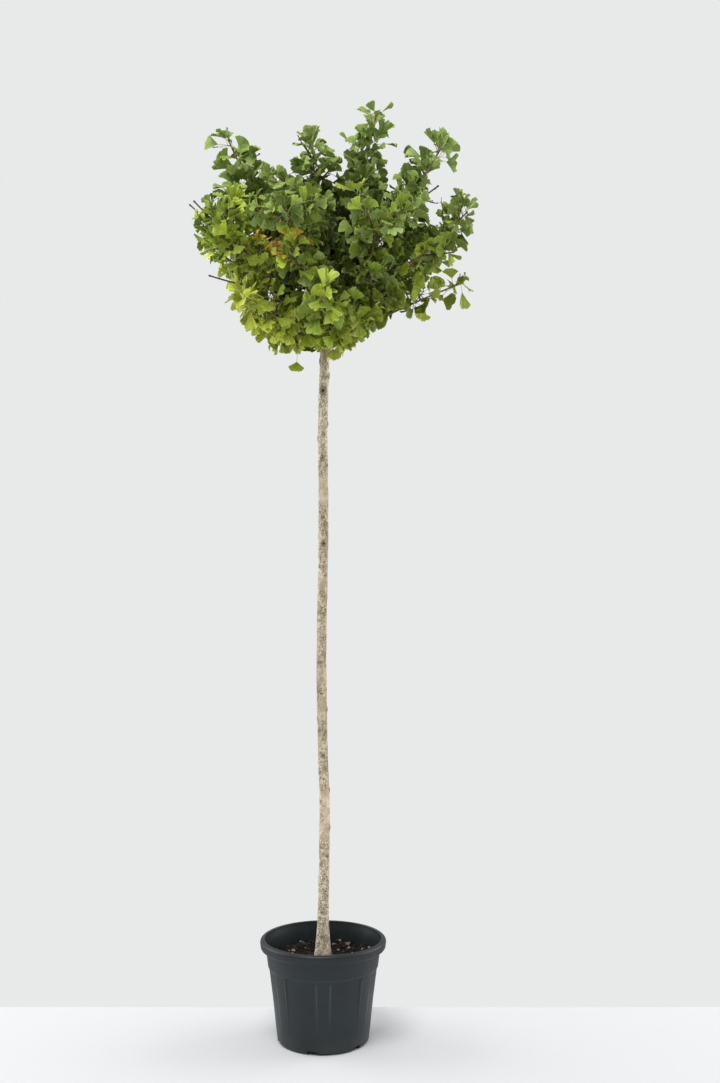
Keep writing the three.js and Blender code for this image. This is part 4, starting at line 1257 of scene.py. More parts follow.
def strip_map(rows, columns):
    """Flat map of a tall tube in side-by-side strips, for the corners of tube_mesh's quads, then its
    fans."""
    per_strip = math.ceil((rows - 1) / STRIPS)
    row = np.arange(rows - 1)[:, None]
    column = np.arange(columns)[None, :]
    strip = row // per_strip
    left, low = STRIP_START
    corners = [
        together(
            (strip + left + STRIP_FILL * (column + across) / columns) / STRIPS,
            low + STRIP_FILL * (row % per_strip + up) / per_strip,
        )
        for across, up in ((0, 0), (1, 0), (1, 1), (0, 1))
    ]
    quads = np.stack(corners, axis=-2).reshape(-1, 2)
    return np.concatenate([quads, np.tile(CAP_MAP, (2 * columns, 1))])


# ---- Growth of the crown ----


def in_body(points, spare=0.0):
    """Whether points lie in the crown's body: (out / r)^p + |up / h|^p < 1, above a tilted cone, all
    drawn in by the spare."""
    x, y, z = np.moveaxis(points - CROWN_HUB, -1, 0)
    out = np.hypot(x - BODY.right, y)
    wide = (out / (BODY.radius - spare)) ** BODY.power
    tall = np.abs((z - BODY.middle) / (BODY.half_height - spare)) ** BODY.power
    return (wide + tall < 1) & (z > UNDERSIDE.slope * out + UNDERSIDE.tilt * x - UNDERSIDE.drop + spare)


def in_crown(points, spare=0.0, hang=0.0):
    """Whether points lie in the body, or close round a leader, within the reach of the nearest mass,
    clear of the trunk, and above the hem, less the hang. The hem is HEM height + rise * (0 to 1 between
    two places to the right or to the left) + back * depth. FULL says how far the body is leafy; past that
    only leaders are, up to the CEILING, which is higher about one leader."""
    from_hub = points - CROWN_HUB
    x, y, z = np.moveaxis(from_hub, -1, 0)
    distance = np.linalg.norm(from_hub, axis=-1)
    along = from_hub @ HEADING.T
    nearest = along.argmax(axis=-1)
    aside = np.sqrt(np.maximum(0, distance[..., None] ** 2 - along**2))
    by_leader = ((aside < LEADER_RADIUS - spare) & (along > BOUGH_SHARE * REACH)).any(axis=-1)
    off_stem = (points[..., 2] > TRUNK_TOP) | (np.hypot(x, y) > STEM_MARGIN)
    sides = HEM.rise[0] * eased(-x, *HEM.left) + HEM.rise[1] * eased(x, *HEM.right)
    hem = HEM.height + sides + HEM.back * np.maximum(0, y)
    ceiling = np.where(np.abs(x - CEILING.middle) < CEILING.half_width, CEILING.peak, CEILING.height)
    between = (z > hem + spare - hang) & (z < ceiling - spare) & (x > FULL.left + spare)
    furthest_right = FULL.right - FULL.lean * np.maximum(0, z - FULL.lean_from)
    full = (z < FULL.top - spare) & (x < furthest_right - spare)
    leafy = in_body(points, spare) & full | by_leader
    return leafy & off_stem & between & (distance < REACH[nearest] - spare)


def own_space(index, points, margin):
    """Whether points lie in one mass's space, nearer its own direction than any other."""
    from_hub = points - CROWN_HUB
    along = from_hub @ HEADING[index]
    aside = np.sqrt(max(0, from_hub @ from_hub - along**2))
    faces = unit(HEADING[index] - np.delete(HEADING, index, axis=0))
    return bool(
        along > BOUGH_SHARE * REACH[index] + margin
        and np.linalg.norm(from_hub) < REACH[index]
        and (in_body(points) or aside < LEADER_RADIUS)
        and (points[2] > TRUNK_TOP or np.hypot(from_hub[0], from_hub[1]) > STEM_MARGIN)
        and (faces @ from_hub > margin).all()
    )


def bent(start, middle, end, steps, until=1.0):
    """Points (1 - t)^2 start + 2 t (1 - t) middle + t^2 end of a bent line, up to some t, for many lines."""
    t = np.linspace(0, 1, steps)[:, None] * np.reshape(until, (-1, 1, 1))
    return (1 - t) ** 2 * start[:, None] + 2 * t * (1 - t) * middle[:, None] + t**2 * end[:, None]


def part_inside(paths):
    """The share of each path up to its last point in the crown, and no less than SHORTEST_STEM."""
    inside = in_crown(paths, STEM_INSIDE)
    last = 1 - inside[:, ::-1].argmax(axis=1) / (paths.shape[1] - 1)
    return np.where(inside.any(axis=1), np.maximum(last, SHORTEST_STEM), SHORTEST_STEM)


def bough_feet():
    """The height at which each bough leaves the head, neighbours in a tier being some places apart."""
    heights = []
    for tier, boughs in BOUGHS_OF.items():
        places = np.arange(len(boughs)) * BOUGH_ORDER % len(boughs)
        heights.extend(lerp(*HEAD_SPACING[tier], places / (len(boughs) - 1)))
    return GRAFT_HEIGHT + np.array(heights)


def leaders():
    """Each bough and the stem of its mass: a bent line from the head to the bough's end, then another out to
    the mass's last spray, whose middle wanders by the mass's own draws. Also gives the draws, ready for the
    shoots."""
    foot = stem_centre(bough_feet())
    end = CROWN_HUB + HEADING * (BOUGH_SHARE * REACH)[:, None]
    bend = end - HEADING * (BOUGH_BEND * np.linalg.norm(end - foot, axis=-1))[:, None]
    tip = CROWN_HUB + HEADING * (REACH - TIP_LEAVES)[:, None]
    draws = [seeded(FOLIAGE_SEED + index) for index in range(BOUGH_COUNT)]
    wander = np.array([[2 * draw() - 1 for _ in range(3)] for draw in draws])
    length_of = np.linalg.norm(tip - end, axis=-1)
    if not in_body(end).all():
        raise RuntimeError("a bough ends outside the crown's body")
    middle = lerp(end, tip, 0.5) + wander * (STEM_WANDER * length_of)[:, None]
    return foot, bend, end, middle, tip, length_of, draws


def source_shoots(end, middle, tip, length_of, draws):
    """The shoots of each mass: a golden turn apart up its stem, SHOOT_ANGLE away from it, as long as a share
    of their distance from the hub, and cut back until their tips stay in the mass's own space."""
    stems = bent(end, middle, tip, STEM_STEPS + 1)
    feet = []
    tips = []
    mass = []
    for index, (draw, rings) in enumerate(zip(draws, stems)):
        count = round(length_of[index] / SHOOT_SPACING)
        turn = TURN * draw()
        for shoot in range(count):
            turn += GOLDEN_TURN
            part = (shoot + 0.5) / count
            step = min(int(part * STEM_STEPS), STEM_STEPS - 1)
            foot = lerp(rings[step], rings[step + 1], part * STEM_STEPS - step)
            tangent = unit(lerp(middle[index] - end[index], tip[index] - middle[index], part))
            side, across = square_to(tangent)
            out = side * math.cos(turn) + across * math.sin(turn)
            heading = tangent * math.cos(SHOOT_ANGLE) + out * math.sin(SHOOT_ANGLE)
            reach = SHOOT_SHARE * np.linalg.norm(foot - CROWN_HUB) * lerp(*SHOOT_SPREAD, draw())
            while reach > SHORTEST_SHOOT and not own_space(index, foot + heading * reach, SHOOT_MARGIN):
                reach *= SHOOT_CUT
            if reach > SHORTEST_SHOOT and in_body(foot):
                feet.append(foot)
                tips.append(foot + heading * reach)
                mass.append(index)
    return cut_back(np.array(feet), np.array(tips), np.array(mass), SHORTEST_SHOOT)


def cut_back(feet, tips, mass, shortest):
    """Straight wood from foot to tip, each cut to the first of TWIG_CUTS that leaves its tip well in the
    crown, and left out where it would be too short."""
    kept = np.zeros(len(feet))
    for cut in TWIG_CUTS:
        fits = in_crown(lerp(feet, tips, cut), WOOD_INSIDE)
        kept = np.where((kept == 0) & fits, cut, kept)
    keep = kept * np.linalg.norm(tips - feet, axis=-1) > shortest
    return feet[keep], lerp(feet, tips, kept[:, None])[keep], mass[keep]


def repeats(counts):
    """Each item's index as often as it counts, and how many times the item came before."""
    owner = np.repeat(np.arange(len(counts)), counts)
    return owner, np.arange(len(owner)) - (np.cumsum(counts) - counts)[owner]


def buds(paths, spacing, rng):
    """Even places along each path, a golden turn apart: whose path it is, point, direction and turn."""
    lengths = np.linalg.norm(np.diff(paths, axis=1), axis=-1).sum(axis=1)
    counts = np.maximum(np.round(lengths / spacing), 1).astype(int)
    owner, order = repeats(counts)
    foot, tangent = places_on(paths, owner, (order + 0.5) / counts[owner])
    return owner, foot, tangent, TURN * rng.random(len(paths))[owner] + GOLDEN_TURN * order


def places_on(paths, owner, part):
    """Points and directions at shares of the paths' lengths, straight between their points."""
    steps = paths.shape[1] - 1
    place = np.clip(part * steps, 0, steps - 1e-6)
    step = place.astype(int)
    low = paths[owner, step]
    high = paths[owner, step + 1]
    return lerp(low, high, (place - step)[:, None]), unit(high - low)


def side_directions(tangent, turn, angle):
    """cos(angle) * tangent + sin(angle) * (cos(turn) * side + sin(turn) * across)."""
    side, across = square_to(tangent)
    out = np.cos(turn)[:, None] * side + np.sin(turn)[:, None] * across
    return unit(np.cos(angle)[:, None] * tangent + np.sin(angle)[:, None] * out)


def fine_twigs(paths, mass, sizes, rng):
    """Finer twigs a golden turn apart along shoots, each cut back into the crown and bent up at its tip.
    Leaders have fewer of them past the crown's body."""
    owner, foot, tangent, turn = buds(paths, sizes.twig_spacing, rng)
    direction = side_directions(tangent, turn, rng.uniform(*TWIG.angle, len(owner)))
    tip = foot + direction * (sizes.twig_length * rng.uniform(*TWIG.length, len(owner)))[:, None]
    keep = in_crown(foot) & (in_body(foot) | (rng.random(len(foot)) < TWIG.past_body))
    foot, tip, own_mass = cut_back(foot[keep], tip[keep], mass[owner[keep]], TWIG.shortest)
    lift = TWIG.lift * np.linalg.norm(tip - foot, axis=-1, keepdims=True) * Z_AXIS
    return bent(foot, lerp(foot, tip, 0.5), tip + lift, TWIG.rings), own_mass


def spurs_on(paths, mass, spacing, sizes, rng):
    """Short pegs a golden turn apart along wood, nearly square to it, tilted a little towards its tip."""
    owner, foot, tangent, turn = buds(paths, spacing, rng)
    direction = side_directions(tangent, turn, rng.uniform(*SPUR.angle, len(owner)))
    tip = foot + direction * (sizes.spur_length * rng.uniform(*SPUR.length, len(owner)))[:, None]
    keep = in_crown(tip, SPUR.inside)
    return foot[keep], tip[keep], mass[owner[keep]]


def with_bud(paths, radii):
    """Paths and radii carried on by an end bud: rings at shares of the tip's radius past the tip."""
    tangent = unit(paths[:, -1] - paths[:, -2])[:, None]
    tip = radii[:, -1:]
    past = BUD_STEPS * np.maximum(tip, LEAST_BUD)
    longer = np.concatenate([paths, paths[:, -1:] + past[..., None] * tangent], axis=1)
    return longer, np.hstack([radii, BUD_SWELL * tip])


def grow_crown(sizes):
    """All the wood of the crown and the sprays of leaves on it, the same each time for the same sizes."""
    rng = np.random.default_rng(FOLIAGE_SEED)
    foot, bend, end, middle, tip, length_of, draws = leaders()
    stems = bent(end, middle, tip, STEM_RINGS, part_inside(bent(end, middle, tip, STEM_RINGS)))
    every = np.arange(BOUGH_COUNT)
    feet, tips, shoot_mass = source_shoots(end, middle, tip, length_of, draws)
    sag = SHOOT_SAG * np.linalg.norm(tips - feet, axis=-1, keepdims=True) * Z_AXIS
    shoots = bent(feet, lerp(feet, tips, 0.5) - sag, tips, SHOOT_RINGS)
    finer = [fine_twigs(stems, every, sizes, rng), fine_twigs(shoots, shoot_mass, sizes, rng)]
    twigs, twig_mass = (np.concatenate(parts) for parts in zip(*finer))
    carriers = ((stems, every, 1.0), (shoots, shoot_mass, 1.0), (twigs, twig_mass, SPUR.on_twigs))
    spurs = [spurs_on(paths, mass, part * sizes.spur_spacing, sizes, rng) for paths, mass, part in carriers]
    spur_foot, spur_tip, spur_mass = (np.concatenate(parts) for parts in zip(*spurs))
    ends = [(paths[:, -1], unit(paths[:, -1] - paths[:, -2]), mass) for paths, mass, _ in carriers]
    end_point, end_heading, end_mass = (np.concatenate(parts) for parts in zip(*ends))
    bare_foot, bare_tip = BARE_SHOOTS[:, 0], BARE_SHOOTS[:, 1]
    bare = bent(bare_foot, lerp(bare_foot, bare_tip, 0.5) - BARE_SAG * Z_AXIS, bare_tip, SHOOT_RINGS)
    return SimpleNamespace(
        boughs=bent(foot, bend, end, BOUGH_RINGS), stems=stems, shoots=np.concatenate([shoots, bare]),
        twigs=twigs, spur_foot=spur_foot, spur_tip=spur_tip,
        centre=np.concatenate([spur_tip, end_point]),
        heading=np.concatenate([unit(spur_tip - spur_foot), end_heading]),
        mass=np.concatenate([spur_mass, end_mass]),
    )


# ---- Leaves ----


def leaf_sprays(growth, sizes):
    """Where every leaf grows: sprays round the tip of each spur and each end bud, their leaves a golden turn
    apart. Each leaf has a root, the heading of its stalk, the side that it turns up, a width and a tint."""
    rng = np.random.default_rng(FOLIAGE_SEED + 1)
    centre = growth.centre
    on_spurs = len(growth.spur_tip)
    average = np.where(np.arange(len(centre)) < on_spurs, sizes.spray, sizes.tip_spray)
    average[on_spurs : on_spurs + BOUGH_COUNT] *= SPRAY.leader_tips  # the leaders' ends come first
    drawn = rng.uniform(-SPRAY.count, SPRAY.count, len(centre))
    warmth = spray_warmth(centre, rng)
    spray, order = repeats(np.maximum(1, np.round(average + drawn)).astype(int))
    amount = len(spray)
    root = centre[spray]
    from_hub = root - CROWN_HUB
    heading = growth.heading[spray]
    tier = TIER_OF[growth.mass[spray]]
    distance = np.clip(np.linalg.norm(from_hub, axis=-1) / FURTHEST_REACH, 0, 1)
    width = lerp(sizes.inner_leaf, sizes.outer_leaf, distance) * rng.uniform(*SPRAY.width, amount)
    width *= np.where(from_hub[:, 2] > LEADERS_ONLY, LEADER_LEAVES, 1)
    turn = TURN * rng.random(len(centre))[spray] + GOLDEN_TURN * order
    spread = np.where((spray < on_spurs)[:, None], SPRAY.spread, SPRAY.tip_spread)
    axis = side_directions(heading, turn, rng.uniform(spread[:, 0], spread[:, 1]))
    axis = unit(axis + Z_AXIS * (LIFT[tier] + rng.uniform(-SPRAY.lift, SPRAY.lift, amount))[:, None])
    skyward = FACING.heading * heading + FACING.outward * unit(from_hub * FACING.level)
    skyward = skyward + FACING.sky * Z_AXIS + rng.normal(0, FACING.chance, (amount, 3))
    stalk = width * rng.uniform(*SPRAY.stalk, amount)
    droop = rng.uniform(*SPRAY.droop, amount) + SPRAY.tier_droop * tier
    side = unit(np.cross(axis, skyward))
    upper = np.cross(side, axis)
    tint = tint_of(warmth, centre, rng)[spray]
    is_gold = tint == GOLD
    # the tone rows are painted shade for leaves deep in the crown, with a random drift
    tone_drift = rng.uniform(-TONE_DRIFT, TONE_DRIFT, amount) * np.where(is_gold, GOLD_DRIFT, 1)
    leaves = SimpleNamespace(
        root=root, axis=axis, side=side, upper=upper, width=width, stalk=stalk, droop=droop, tier=tier,
        tint=tint,
        tone=np.clip(np.round(inner_shade_rows(from_hub) + tone_drift), 0, TONES - 1),
    )
    keep = has_room(leaves)
    leaves.width = np.where(is_gold, GOLD_SIZE, 1) * width * TIER_SIZE[tier]
    return with_strays(chosen(leaves, keep))


def inner_shade_rows(from_hub):
    """Rows of painted shade by how far in a leaf grows: INNER_TONE * (TONE_EDGE - distance in half sizes of
    the body)."""
    half_sizes = [BODY.radius, BODY.radius, BODY.half_height]
    outness = np.linalg.norm((from_hub - [BODY.right, 0, BODY.middle]) / half_sizes, axis=-1)
    return INNER_TONE * (TONE_EDGE - outness)


def has_room(leaves):
    """Whether a leaf's middle and both its corners lie in the crown and the solids' box, or just past
    them, and the leaf is in no thin place."""
    stalk, width, droop = leaves.stalk[:, None], leaves.width[:, None], leaves.droop[:, None]
    bladeward = unit(np.cos(droop) * leaves.axis - np.sin(droop) * leaves.upper)
    middle = leaves.root + leaves.axis * (PROBE.stalk * stalk) + bladeward * (PROBE.blade * width)
    hang = np.where(middle[:, 0] > CROWN_HUB[0], RIGHT_HANG, 0)
    room = in_crown(middle, -PROBE.middle_past, hang) & in_solids_box(middle)
    for part in (-PROBE.corner, PROBE.corner):
        corner = middle + leaves.side * (part * width)
        room &= in_crown(corner, -PROBE.corner_past, hang) & in_solids_box(corner)
    return room & ~in_thin_place(middle, THIN_SPARE * leaves.width)


def in_solids_box(points):
    """Whether points lie in the box of all the frame's solids, or just past it."""
    low, high = np.array(CAD_BOX)
    return ((points > low - PAST_SOLIDS) & (points < high + PAST_SOLIDS)).all(axis=-1)


def in_thin_place(points, spare):
    """Whether points come within the radius and spare of a thin place: they are carried to the plane of the
    stem along their line from VIEW_FROM."""
    from_view = points - VIEW_FROM
    carried = VIEW_FROM + from_view * (-VIEW_FROM[1] / from_view[:, 1])[:, None]
    apart = np.linalg.norm(carried[:, None, ::2] - THIN_PLACES[:, :2], axis=-1)
    return (apart < THIN_PLACES[:, 2] + spare[:, None]).any(axis=1)


def with_strays(leaves):
    """The leaves with the few more that hang alone on long stalks under the crown."""
    root, axis, width, stalk = (np.array(column) for column in zip(*STRAYS))
    axis = unit(axis)
    side = unit(np.cross(axis, -Y_AXIS))
    more = {
        "root": root,
        "axis": axis,
        "side": side,
        "upper": np.cross(side, axis),
        "width": width,
        "stalk": stalk,
        "droop": np.full(len(STRAYS), STRAY_DROOP),
        "tier": np.full(len(STRAYS), TIERS.index("skirt")),
        "tint": np.full(len(STRAYS), TINTS.index("fresh")),
        "tone": np.zeros(len(STRAYS)),
    }
    both = {key: np.concatenate([value, more[key]]) for key, value in vars(leaves).items()}
    return SimpleNamespace(**both)


def spray_warmth(centre, rng):
    """How far a spray has turned from deep green: warmer low down and to the left, less so in the cool
    places, and by drift and chance."""
    x, y, z = np.moveaxis(centre - CROWN_HUB, -1, 0)
    across = x / DRIFT.size + DRIFT.shift
    drift = cell_noise(across, z / DRIFT.size + y / DRIFT.depth + DRIFT.shift, DRIFT.wrap, DRIFT.seed)
    cool = sum(
        part * bell(x - right, half_width) * bell(z - up, half_height)
        for right, up, half_width, half_height, part in COOL_PLACES
    )
    left = -x * np.clip(LEFT_FADE[0] - z / LEFT_FADE[1], 0, 1)
    risen = WARMTH.hub - WARMTH.fall * z - WARMTH.high_fall * np.maximum(0, z - WARMTH.high)
    chance = rng.uniform(-WARMTH.chance, WARMTH.chance, len(centre))
    return risen + WARMTH.left * left - WARMTH.cool * cool + WARMTH.drift * (drift - 0.5) + chance


def tint_of(warmth, centre, rng):
    """A spray's tint by its warmth, grey-green on the leaders, and gold in the patch that turns first."""
    tint = np.searchsorted(TINT_STEPS, warmth)
    blur = rng.uniform(-LEADER_BLUR, LEADER_BLUR, len(centre))
    leading = centre[:, 2] - CROWN_HUB[2] + blur > LEADERS_ONLY
    tint = np.where(leading, TINTS.index("deep"), tint)
    from_spot = np.linalg.norm((centre - GOLD_SPOT) / GOLD_STRETCH, axis=-1) / GOLD_RADIUS
    at_spot, fall, most = GOLD_CHANCE
    chance = np.clip(at_spot - fall * from_spot, 0, most)
    return np.where(rng.random(len(centre)) < chance, GOLD, tint)


def fan_faces():
    """How many points one leaf has, its faces with four corners, and those with three. The blade's points
    are the foot, the inner row, the margin and the inner row of the underside; then come the stalk's
    rings."""
    inner = 1 + np.arange(FAN_COLUMNS)
    rim = inner + FAN_COLUMNS
    under = np.concatenate([[inner[0]], 1 + 2 * FAN_COLUMNS + np.arange(FAN_COLUMNS - 2), [inner[-1]]])
    first = under[-2] + 1
    last = first + (len(STALK_SHARES) - 1) * STALK_SIDES
    here = np.arange(STALK_SIDES)
    upper = together(inner[:-1], inner[1:], rim[1:], rim[:-1])
    lower = together(under[1:], under[:-1], rim[:-1], rim[1:])
    upper_fan = together(0, inner[1:], inner[:-1])
    lower_fan = together(0, under[:-1], under[1:])
    caps = np.stack([first + here[::-1], last + here])
    quads = np.concatenate([upper, lower, tube_wall(first, len(STALK_SHARES), STALK_SIDES)])
    return last + STALK_SIDES, quads, np.concatenate([upper_fan, lower_fan, caps])


def fan_map():
    """Flat map of one leaf's corners, in the order of fan_faces: u = left + wide * column share, and half
    a map more on the underside; v = foot + tall * (0, FAN_MIDDLE or 1). The stalk lies below."""
    u = FLAT.left + FLAT.wide * COLUMN_SHARES
    left, right = u[:-1], u[1:]
    middle = (left + right) / 2
    foot, low, high = (FLAT.foot + FLAT.tall * part for part in (0, FAN_MIDDLE, 1))

    def corners(*pairs):
        return np.stack([together(*pair) for pair in pairs], axis=1)

    upper = corners((left, low), (right, low), (right, high), (left, high))
    upper_fan = corners((middle, foot), (right, low), (left, low))
    half = np.array([0.5, 0])
    lower = upper[:, [1, 0, 3, 2]] + half
    lower_fan = upper_fan[:, [0, 2, 1]] + half
    (start, bottom), (end, top) = FLAT.stalk
    stalk = np.array([[start, bottom], [end, bottom], [end, top], [start, top]])
    wall = np.tile(stalk, ((len(STALK_SHARES) - 1) * STALK_SIDES, 1, 1))
    caps = np.tile(stalk[:3], (2, 1, 1))
    return np.concatenate([upper, lower, wall]), np.concatenate([upper_fan, lower_fan, caps])


def fan_points(leaves, seed):
    """The points of every leaf, in the plant's frame. In a blade's own plane a point is r * (sin a, cos
    a) with a = opening * (2 * share - 1) and r the margin's radius times its corner rounding, notches and
    wobble. Its height is fold * |x| - curl * r^2 + ripple * sin(waves), less so inside, with a pleat up
    and down from one column to the next. The stalk is an arc that turns down by the leaf's droop, and the
    blade carries on from its end."""
    rng = np.random.default_rng(seed)
    amount = len(leaves.width)
    width, stalk, droop = (values[:, None] for values in (leaves.width, leaves.stalk, leaves.droop))

    def drawn(low, high):
        return rng.uniform(low, high, (amount, 1))

    opening = drawn(*FAN.opening)
    full = 0.5 * width / np.sin(opening)
    notch = drawn(*FAN.notch) * (drawn(0, 1) < FAN.notched_share)
    scallop = np.maximum(0, rng.normal(*FAN.scallop, (amount, FAN_COLUMNS))) * SCALLOPED
    wobble = rng.normal(*FAN.wobble, (amount, FAN_COLUMNS))
    margin = full * CORNER_ROUNDING * (1 - notch * NOTCHED - scallop + wobble)
    angle = opening * (2 * COLUMN_SHARES - 1)
    ripple = drawn(*FAN.ripple)
    waves = np.sin(TURN * (drawn(*FAN.waves) * COLUMN_SHARES + drawn(0, 1)))
    fold = drawn(*FAN.fold)
    curl = drawn(*FAN.curl)

    def row(radius, turned, part):
        x = radius * np.sin(turned)
        y = radius * np.cos(turned)
        z = fold * np.abs(x) - curl * radius**2 / full * CURL_SHARE + ripple * full * waves * part
        return together(x, y, z)

    def on_arc(part, x, along, above):
        """Places beside the point of the stalk's arc that is part of the way up it."""
        bend = droop * part
        y = stalk * np.sin(bend) / droop + along * np.cos(bend) + above * np.sin(bend)
        z = -stalk * (1 - np.cos(bend)) / droop - along * np.sin(bend) + above * np.cos(bend)
        return together(x, y, z)

    inner = row(FAN_MIDDLE * full, FAN_WAIST * angle, INNER_RIPPLE)
    rim = row(margin, angle, 1.0)
    pleat = drawn(*FAN.pleat) * full * (-1) ** np.arange(FAN_COLUMNS)
    inner[..., 2] += INNER_PLEAT * pleat
    rim[..., 2] += pleat
    under = inner[:, 1:-1] - [0, 0, BLADE_THICKNESS]
    blade = np.concatenate([np.zeros((amount, 1, 3)), inner, rim, under], axis=1)
    round_angle = -TURN * np.arange(STALK_SIDES) / STALK_SIDES
    beside = np.multiply.outer(STALK_RADII, np.cos(round_angle)).ravel()
    above = np.multiply.outer(STALK_RADII, np.sin(round_angle)).ravel()
    rings = on_arc(np.repeat(STALK_SHARES, STALK_SIDES), beside, 0, above)
    own = np.concatenate([on_arc(1, *np.moveaxis(blade, -1, 0)), rings], axis=1)
    basis = np.stack([leaves.side, leaves.axis, leaves.upper], axis=1)
    return leaves.root[:, None] + own @ basis


def chosen(leaves, mask):
    """The leaves that a mask keeps."""
    return SimpleNamespace(**{key: value[mask] for key, value in vars(leaves).items()})


def leaf_piece(name, leaves, seed):
    """One joined mesh of leaves, whose flat maps lie in the rows of the leaf material's tones."""
    points = fan_points(leaves, seed)
    per_leaf, *faces = fan_faces()
    if points.shape[1] != per_leaf:
        raise RuntimeError("a leaf's points don't match its faces")
    offset = (per_leaf * np.arange(len(points)))[:, None, None]
    polygons = [(kind + offset).reshape(-1, kind.shape[1]) for kind in faces]
    row = np.multiply.outer(leaves.tone, [0, 1])[:, None, None]
    flat = [((kind + row) / [1, TONES]).reshape(-1, 2) for kind in fan_map()]
    return mesh_piece(name, points.reshape(-1, 3), polygons, np.concatenate(flat), sharp=LEAF_HARD_EDGE)


# ---- Operators ----


class BuildStage(bpy.types.Operator):
    """Sets up the camera, the pale floor, the backdrop's tone and the soft lights"""

    bl_idname = "ginkgo.stage"
    bl_label = "Stage"

    def execute(self, context):
        stage = context.scene.ginkgo.stage
        scene = context.scene
        scene.view_settings.view_transform = "Standard"
        camera = bpy.data.objects.new("camera", bpy.data.cameras.new("camera"))
        camera.data.lens = stage.lens
        camera.data.sensor_width = SENSOR_WIDTH
        camera.data.clip_start = NEAREST_SEEN
        camera.location = (stage.camera_right, -stage.camera_distance, stage.camera_height)
        camera.rotation_euler = (math.pi / 2, 0, 0)
        scene.collection.objects.link(camera)
        scene.camera = camera
        self.build_floor(stage)
        self.build_lights(scene, stage)
        self.build_world(scene, stage)
        return {"FINISHED"}

    @staticmethod
    def build_floor(stage):
        """A flat sheet just under the pot, from in front of the camera to the backdrop."""
        reach = stage.floor_reach
        far = stage.floor_behind
        corners = together([-reach, reach, reach, -reach], [-reach, -reach, far, far], -FLOOR_DROP)
        floor = mesh_piece("floor", corners, [np.array([[0, 1, 2, 3]])])
        floor.data.materials.append(floor_paint(stage))

    @staticmethod
    def build_lights(scene, stage):
        """Soft oblong lights that the camera doesn't see, turned to the upper part of the stem."""
        for name, power_key, wide, tall, place in LAMPS:
            light = bpy.data.lights.new(name, "AREA")
            light.shape = "RECTANGLE"
            light.size = wide
            light.size_y = tall
            light.energy = getattr(stage, power_key)
            lamp = bpy.data.objects.new(name, light)
            lamp.location = place
            lamp.rotation_euler = (LIGHTS_AIM - lamp.location).to_track_quat("-Z", "Y").to_euler()
            lamp.visible_camera = False
            scene.collection.objects.link(lamp)

    @staticmethod
    def build_world(scene, stage):
        """White light from all sides, while the camera sees the backdrop's colour."""
        scene.world = bpy.data.worlds.new("studio")
        scene.world.use_nodes = True
        tree = scene.world.node_tree
        tree.nodes.clear()
        path = tree.nodes.new("ShaderNodeLightPath")
        mixed = tree.nodes.new("ShaderNodeMixShader")
        output = tree.nodes.new("ShaderNodeOutputWorld")
        tree.links.new(path.outputs["Is Camera Ray"], mixed.inputs[0])
        tree.links.new(mixed.outputs[0], output.inputs["Surface"])
        for index, tone, strength in ((1, (1, 1, 1), stage.sky), (2, stage.backdrop, 1)):
            even = tree.nodes.new("ShaderNodeBackground")
            even.inputs["Color"].default_value = (*tone, 1)
            even.inputs["Strength"].default_value = strength
            tree.links.new(even.outputs[0], mixed.inputs[index])


class BuildPot(bpy.types.Operator):
    """Builds the moulded pot: seven ribs, pressed panels, a rolled lip and six drain notches"""

    bl_idname = "ginkgo.pot"
    bl_label = "Pot"

    def execute(self, context):
        sizes = context.scene.ginkgo
        rings, hollow, edge = pot_surface(sizes.pot)
        # painted shade in the drain notches, and painted highlight lines on the edges
        values = {"hollow": tube_values(hollow), "edge": tube_values(edge)}
        pot = mesh_piece("nursery_pot", *tube_mesh(rings), sharp=POT_HARD_EDGE, **values)
        placed(pot, ["pot"], pot_plastic(sizes.colours))
        return {"FINISHED"}


class BuildSoil(bpy.types.Operator):
    """Builds the soil and the loose stones, bark chips and grit on it"""

    bl_idname = "ginkgo.soil"
    bl_label = "Soil"

    def execute(self, context):
        sizes = context.scene.ginkgo
        soil = mesh_piece("potting_soil", *tube_mesh(soil_surface(sizes.pot)))
        placed(soil, ["soil"], potting_soil(sizes.colours))
        count = sizes.pot.soil_bits
        chip = (CHIP_CORNERS, CHIP_FACES)
        # Name, shape, how many, size, flatness and colour.
        kinds = (
            ("soil_stones", stone_shape(), count // 7, 0.0095, 0.75, sizes.colours.stone),
            ("soil_chips", chip, count, 0.0090, 0.40, sizes.colours.chip),
            ("soil_grit", chip, 3 * count, 0.0052, 0.8, sizes.colours.grit),
        )
        for seed, (name, shape, amount, size, flatness, base) in enumerate(kinds):
            mesh = scattered_bits(shape, amount, size, flatness, sizes.pot, BITS.seed + seed)
            bits = mesh_piece(name, *mesh, sharp=BIT_HARD_EDGE)
            placed(bits, ["soil"], loose_bits(name, base))
        return {"FINISHED"}


class BuildTrunk(bpy.types.Operator):
    """Builds the bare stem with its root flare, cracked bark, knots and graft"""

    bl_idname = "ginkgo.trunk"
    bl_label = "Trunk"

    def execute(self, context):
        sizes = context.scene.ginkgo
        rings, crack, dark, ring = trunk_surface(sizes.stem)
        values = {"crack": tube_values(crack), "knot": tube_values(dark), "ring": tube_values(ring)}
        flat = strip_map(STEM_ROWS, STEM_COLUMNS)
        trunk = mesh_piece("stem_with_bark", *tube_mesh(rings), flat, **values)
        placed(trunk, ["trunk"], stem_bark(sizes.colours))
        return {"FINISHED"}


